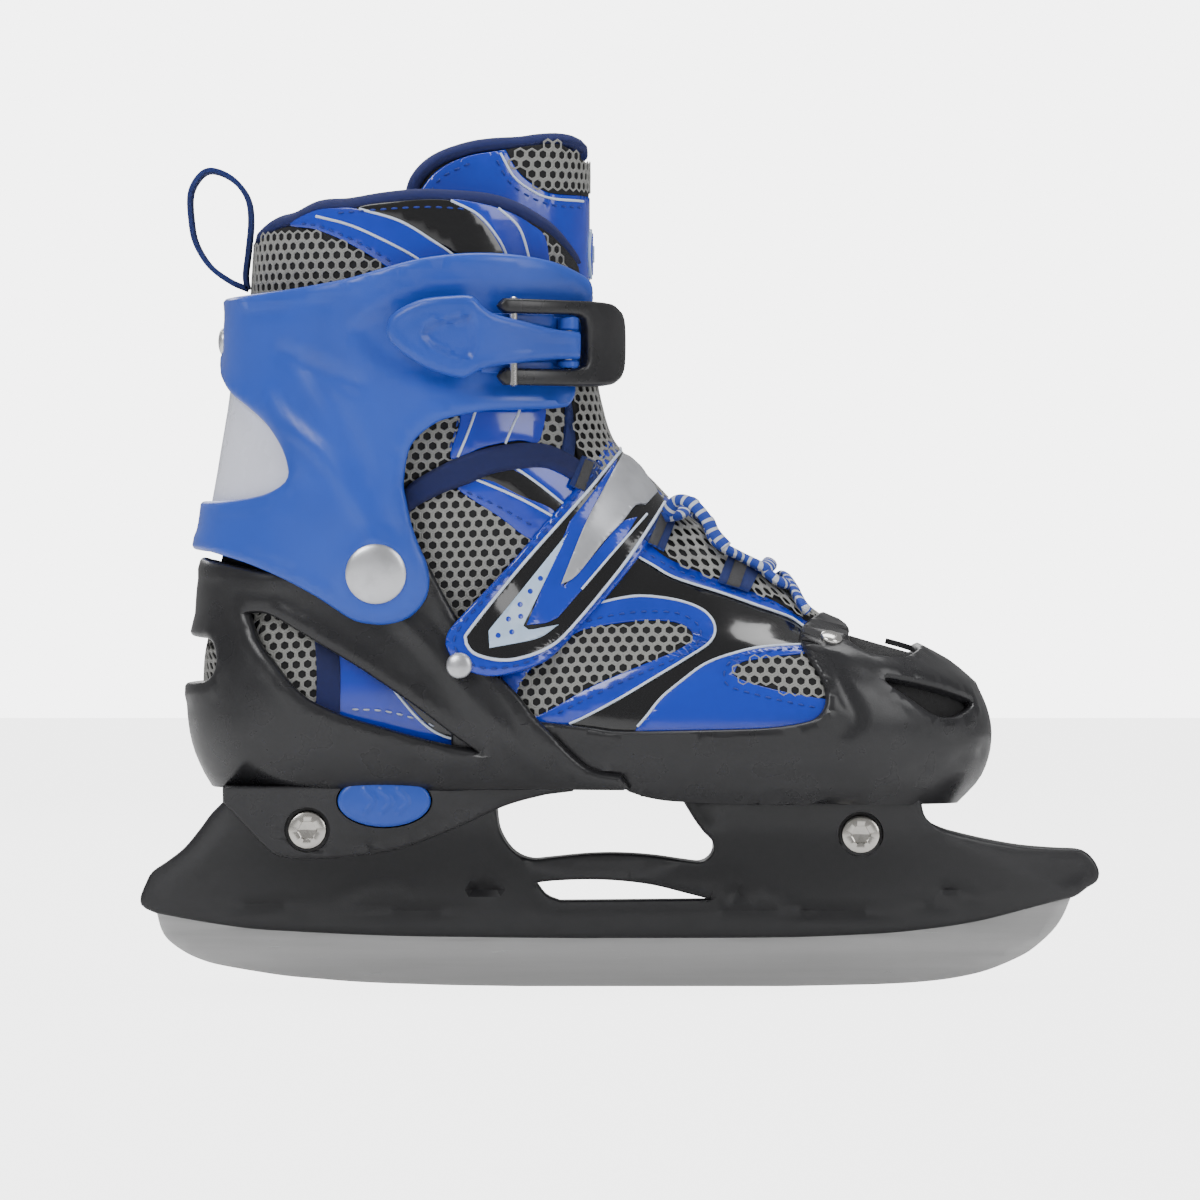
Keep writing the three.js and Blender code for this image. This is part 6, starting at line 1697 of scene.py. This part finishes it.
# ---------------------------------------------------------------- stage
# Backdrop and floor look brighter to the camera than the light they give the skate.
WHITE_SWEEP = 5.5
FLOOR_GLOW = 0.72            # share of the sweep's brightness in the floor
FRAMED_WIDTH = 0.36          # metres across the picture at the skate
SENSOR_MM = 36
CAMERA_X, CAMERA_Z = -0.006, 0.1158
LIGHT_AIM_Z = 0.11


def build_stage(settings):
    ground = Finish("Studio Floor", (0.9, 0.9, 0.9), 0.6)
    floor = new_object("studio_floor", [(-6000, -4000, 0), (6000, -4000, 0), (6000, 5000, 0), (-6000, 5000,
        0)], [(0, 1, 2, 3)], ground.material, smooth=False)
    world = bpy.context.scene.world or bpy.data.worlds.new("Studio")
    bpy.context.scene.world = world
    world.use_nodes = True
    shade = world.node_tree.nodes["Background"]
    shade.inputs[0].default_value = (1, 1, 1, 1)
    seen = Field(world.node_tree, world.node_tree.nodes.new("ShaderNodeLightPath").outputs[0])
    strength = seen * (WHITE_SWEEP - settings.room_light) + settings.room_light
    world.node_tree.links.new(strength.socket, shade.inputs[1])
    seen = ground.node("ShaderNodeLightPath")
    glow = ground.node("ShaderNodeEmission", Strength=WHITE_SWEEP)
    blend = ground.tree.nodes.new("ShaderNodeMixShader")
    out = ground.tree.nodes["Material Output"]
    for source, pin in (((seen * FLOOR_GLOW).socket, blend.inputs[0]), (ground.shader.outputs[0],
            blend.inputs[1]), (glow.socket, blend.inputs[2]), (blend.outputs[0], out.inputs[0])):
        ground.tree.links.new(source, pin)
    for name, place, size, power in (("key_softbox", (-1.1, -1.5, 1.5), (1.0, 1.0), 26), ("fill_softbox",
            (1.4, -1.2, 0.9), (0.8, 1.2), 11), ("top_softbox", (0, 0.2, 1.7), (1.6, 0.8), 22),
            ("rim_softbox", (-0.6, 1.4, 1.0), (1.0, 0.8), 12)):
        data = bpy.data.lights.new(name, "AREA")
        data.shape = "RECTANGLE"
        data.size, data.size_y = size
        data.energy = power
        lamp = bpy.data.objects.new(name, data)
        lamp.location = place
        aim = Vector((0, 0, LIGHT_AIM_Z)) - Vector(place)
        lamp.rotation_euler = aim.to_track_quat("-Z", "Y").to_euler()
        bpy.context.collection.objects.link(lamp)
    camera_data = bpy.data.cameras.new("studio_camera")
    camera = bpy.data.objects.new("studio_camera", camera_data)
    bpy.context.collection.objects.link(camera)
    camera.location = (CAMERA_X, -settings.camera_distance, CAMERA_Z)
    camera.rotation_euler = (math.radians(90), 0, 0)
    camera_data.lens = SENSOR_MM * settings.camera_distance / FRAMED_WIDTH
    camera_data.clip_end = 50
    bpy.context.scene.camera = camera


# ---------------------------------------------------------------- add-on
class SkateSettings(bpy.types.PropertyGroup):
    shell_colour: bpy.props.FloatVectorProperty(name="Shell",
        description="Colour of the boot's shells and the blade holder", subtype="COLOR", size=3, min=0,
        max=1, default=SHELL_BLACK)
    cuff_colour: bpy.props.FloatVectorProperty(name="Cuff",
        description="Colour of the cuff, its buckle and the size button", subtype="COLOR", size=3, min=0,
        max=1, default=BLUE)
    patent_colour: bpy.props.FloatVectorProperty(name="Patches",
        description="Colour of the glossy patches on the liner, the tongue and the strap", subtype="COLOR",
        size=3, min=0, max=1, default=PATENT_BLUE)
    net_pitch: bpy.props.FloatProperty(name="Net Pitch",
        description="Distance between the holes of the open net", default=0.0034, min=0.0025, max=0.006,
        subtype="DISTANCE", unit="LENGTH")
    line_radius: bpy.props.FloatProperty(name="Line Radius",
        description="Half the width of the white lines on the patches", default=0.00042, min=0.0002,
        max=0.001, subtype="DISTANCE", unit="LENGTH")


class SkateStageSettings(bpy.types.PropertyGroup):
    room_light: bpy.props.FloatProperty(name="Room Light",
        description="Strength of the light that comes from all round", default=0.35, min=0, max=5)
    camera_distance: bpy.props.FloatProperty(name="Camera Distance",
        description="How far the camera stands from the skate", default=2.2, min=0.5, max=10,
        subtype="DISTANCE", unit="LENGTH")


class SkateOperator:
    bl_options = {"REGISTER", "UNDO"}
    builders = ()

    def execute(self, context):
        if "steel" not in looks:
            make_looks(context.scene.skate)
        for build in self.builders:
            build()
        return {"FINISHED"}


class SKATE_OT_looks(SkateOperator, bpy.types.Operator):
    """Make the materials from the panel's colours"""
    bl_idname = "skate.looks"
    bl_label = "Materials"

    def execute(self, context):
        make_looks(context.scene.skate)
        return {"FINISHED"}


class SKATE_OT_blade(SkateOperator, bpy.types.Operator):
    """Build the blade, its holder, the bolts and the nuts"""
    bl_idname = "skate.blade"
    bl_label = "Blade and Holder"
    builders = (build_blade,)


class SKATE_OT_heel_shell(SkateOperator, bpy.types.Operator):
    """Build the heel shell with the sole skirt and the size button"""
    bl_idname = "skate.heel_shell"
    bl_label = "Heel Shell and Button"
    builders = (build_skirt, build_button, build_heel)


class SKATE_OT_toe_shell(SkateOperator, bpy.types.Operator):
    """Build the sliding toe shell and its rivets"""
    bl_idname = "skate.toe_shell"
    bl_label = "Toe Shell"
    builders = (build_toe,)


class SKATE_OT_cuff(SkateOperator, bpy.types.Operator):
    """Build the cuff, its back panel and the back rivet"""
    bl_idname = "skate.cuff"
    bl_label = "Cuff"
    builders = (build_cuff,)


class SKATE_OT_buckle(SkateOperator, bpy.types.Operator):
    """Build the buckle: base, lever, bail, pins and ladder strap"""
    bl_idname = "skate.buckle"
    bl_label = "Buckle"
    builders = (build_buckle,)


class SKATE_OT_liner(SkateOperator, bpy.types.Operator):
    """Build the liner's skins, the insole and all the sewn patches of the foot"""
    bl_idname = "skate.liner"
    bl_label = "Liner"
    builders = (build_liner, build_vamp, build_ankle, build_heel_window)


class SKATE_OT_collar(SkateOperator, bpy.types.Operator):
    """Build the padded collar with its patches and binding"""
    bl_idname = "skate.collar"
    bl_label = "Collar"
    builders = (build_collar,)


class SKATE_OT_tongue(SkateOperator, bpy.types.Operator):
    """Build the padded tongue"""
    bl_idname = "skate.tongue"
    bl_label = "Tongue"
    builders = (build_tongue,)


class SKATE_OT_strap(SkateOperator, bpy.types.Operator):
    """Build the instep strap, its webbing and its ring"""
    bl_idname = "skate.strap"
    bl_label = "Instep Strap"
    builders = (build_strap,)


class SKATE_OT_laces(SkateOperator, bpy.types.Operator):
    """Build the laces, their loops and the pull loop at the heel"""
    bl_idname = "skate.laces"
    bl_label = "Laces and Loops"
    builders = (build_laces, build_pull_loop)


class SKATE_OT_stage(SkateOperator, bpy.types.Operator):
    """Build the floor, the lights and the camera"""
    bl_idname = "skate.stage"
    bl_label = "Stage"

    def execute(self, context):
        build_stage(context.scene.skate_stage)
        return {"FINISHED"}


OPERATORS = (SKATE_OT_looks, SKATE_OT_blade, SKATE_OT_heel_shell, SKATE_OT_toe_shell, SKATE_OT_cuff,
    SKATE_OT_buckle, SKATE_OT_liner, SKATE_OT_collar, SKATE_OT_tongue, SKATE_OT_strap, SKATE_OT_laces,
    SKATE_OT_stage)


class SKATE_PT_panel(bpy.types.Panel):
    bl_label = "Ice Skate"
    bl_idname = "SKATE_PT_panel"
    bl_space_type = "VIEW_3D"
    bl_region_type = "UI"
    bl_category = "Ice Skate"

    def draw(self, context):
        for group in (context.scene.skate, context.scene.skate_stage):
            for key in group.bl_rna.properties.keys():
                if key not in ("name", "rna_type"):
                    self.layout.prop(group, key)
        for operator in OPERATORS:
            self.layout.operator(operator.bl_idname)


CLASSES = (SkateSettings, SkateStageSettings, *OPERATORS, SKATE_PT_panel)


def register():
    for cls in CLASSES:
        bpy.utils.register_class(cls)
    bpy.types.Scene.skate = bpy.props.PointerProperty(type=SkateSettings)
    bpy.types.Scene.skate_stage = bpy.props.PointerProperty(type=SkateStageSettings)


def unregister():
    del bpy.types.Scene.skate_stage
    del bpy.types.Scene.skate
    for cls in reversed(CLASSES):
        bpy.utils.unregister_class(cls)


def main():
    register()
    for operator in OPERATORS:
        group, name = operator.bl_idname.split(".")
        result = getattr(getattr(bpy.ops, group), name)()
        if "FINISHED" not in result:
            raise RuntimeError(f"{operator.bl_idname} did not finish")


if __name__ == "__main__":
    main()
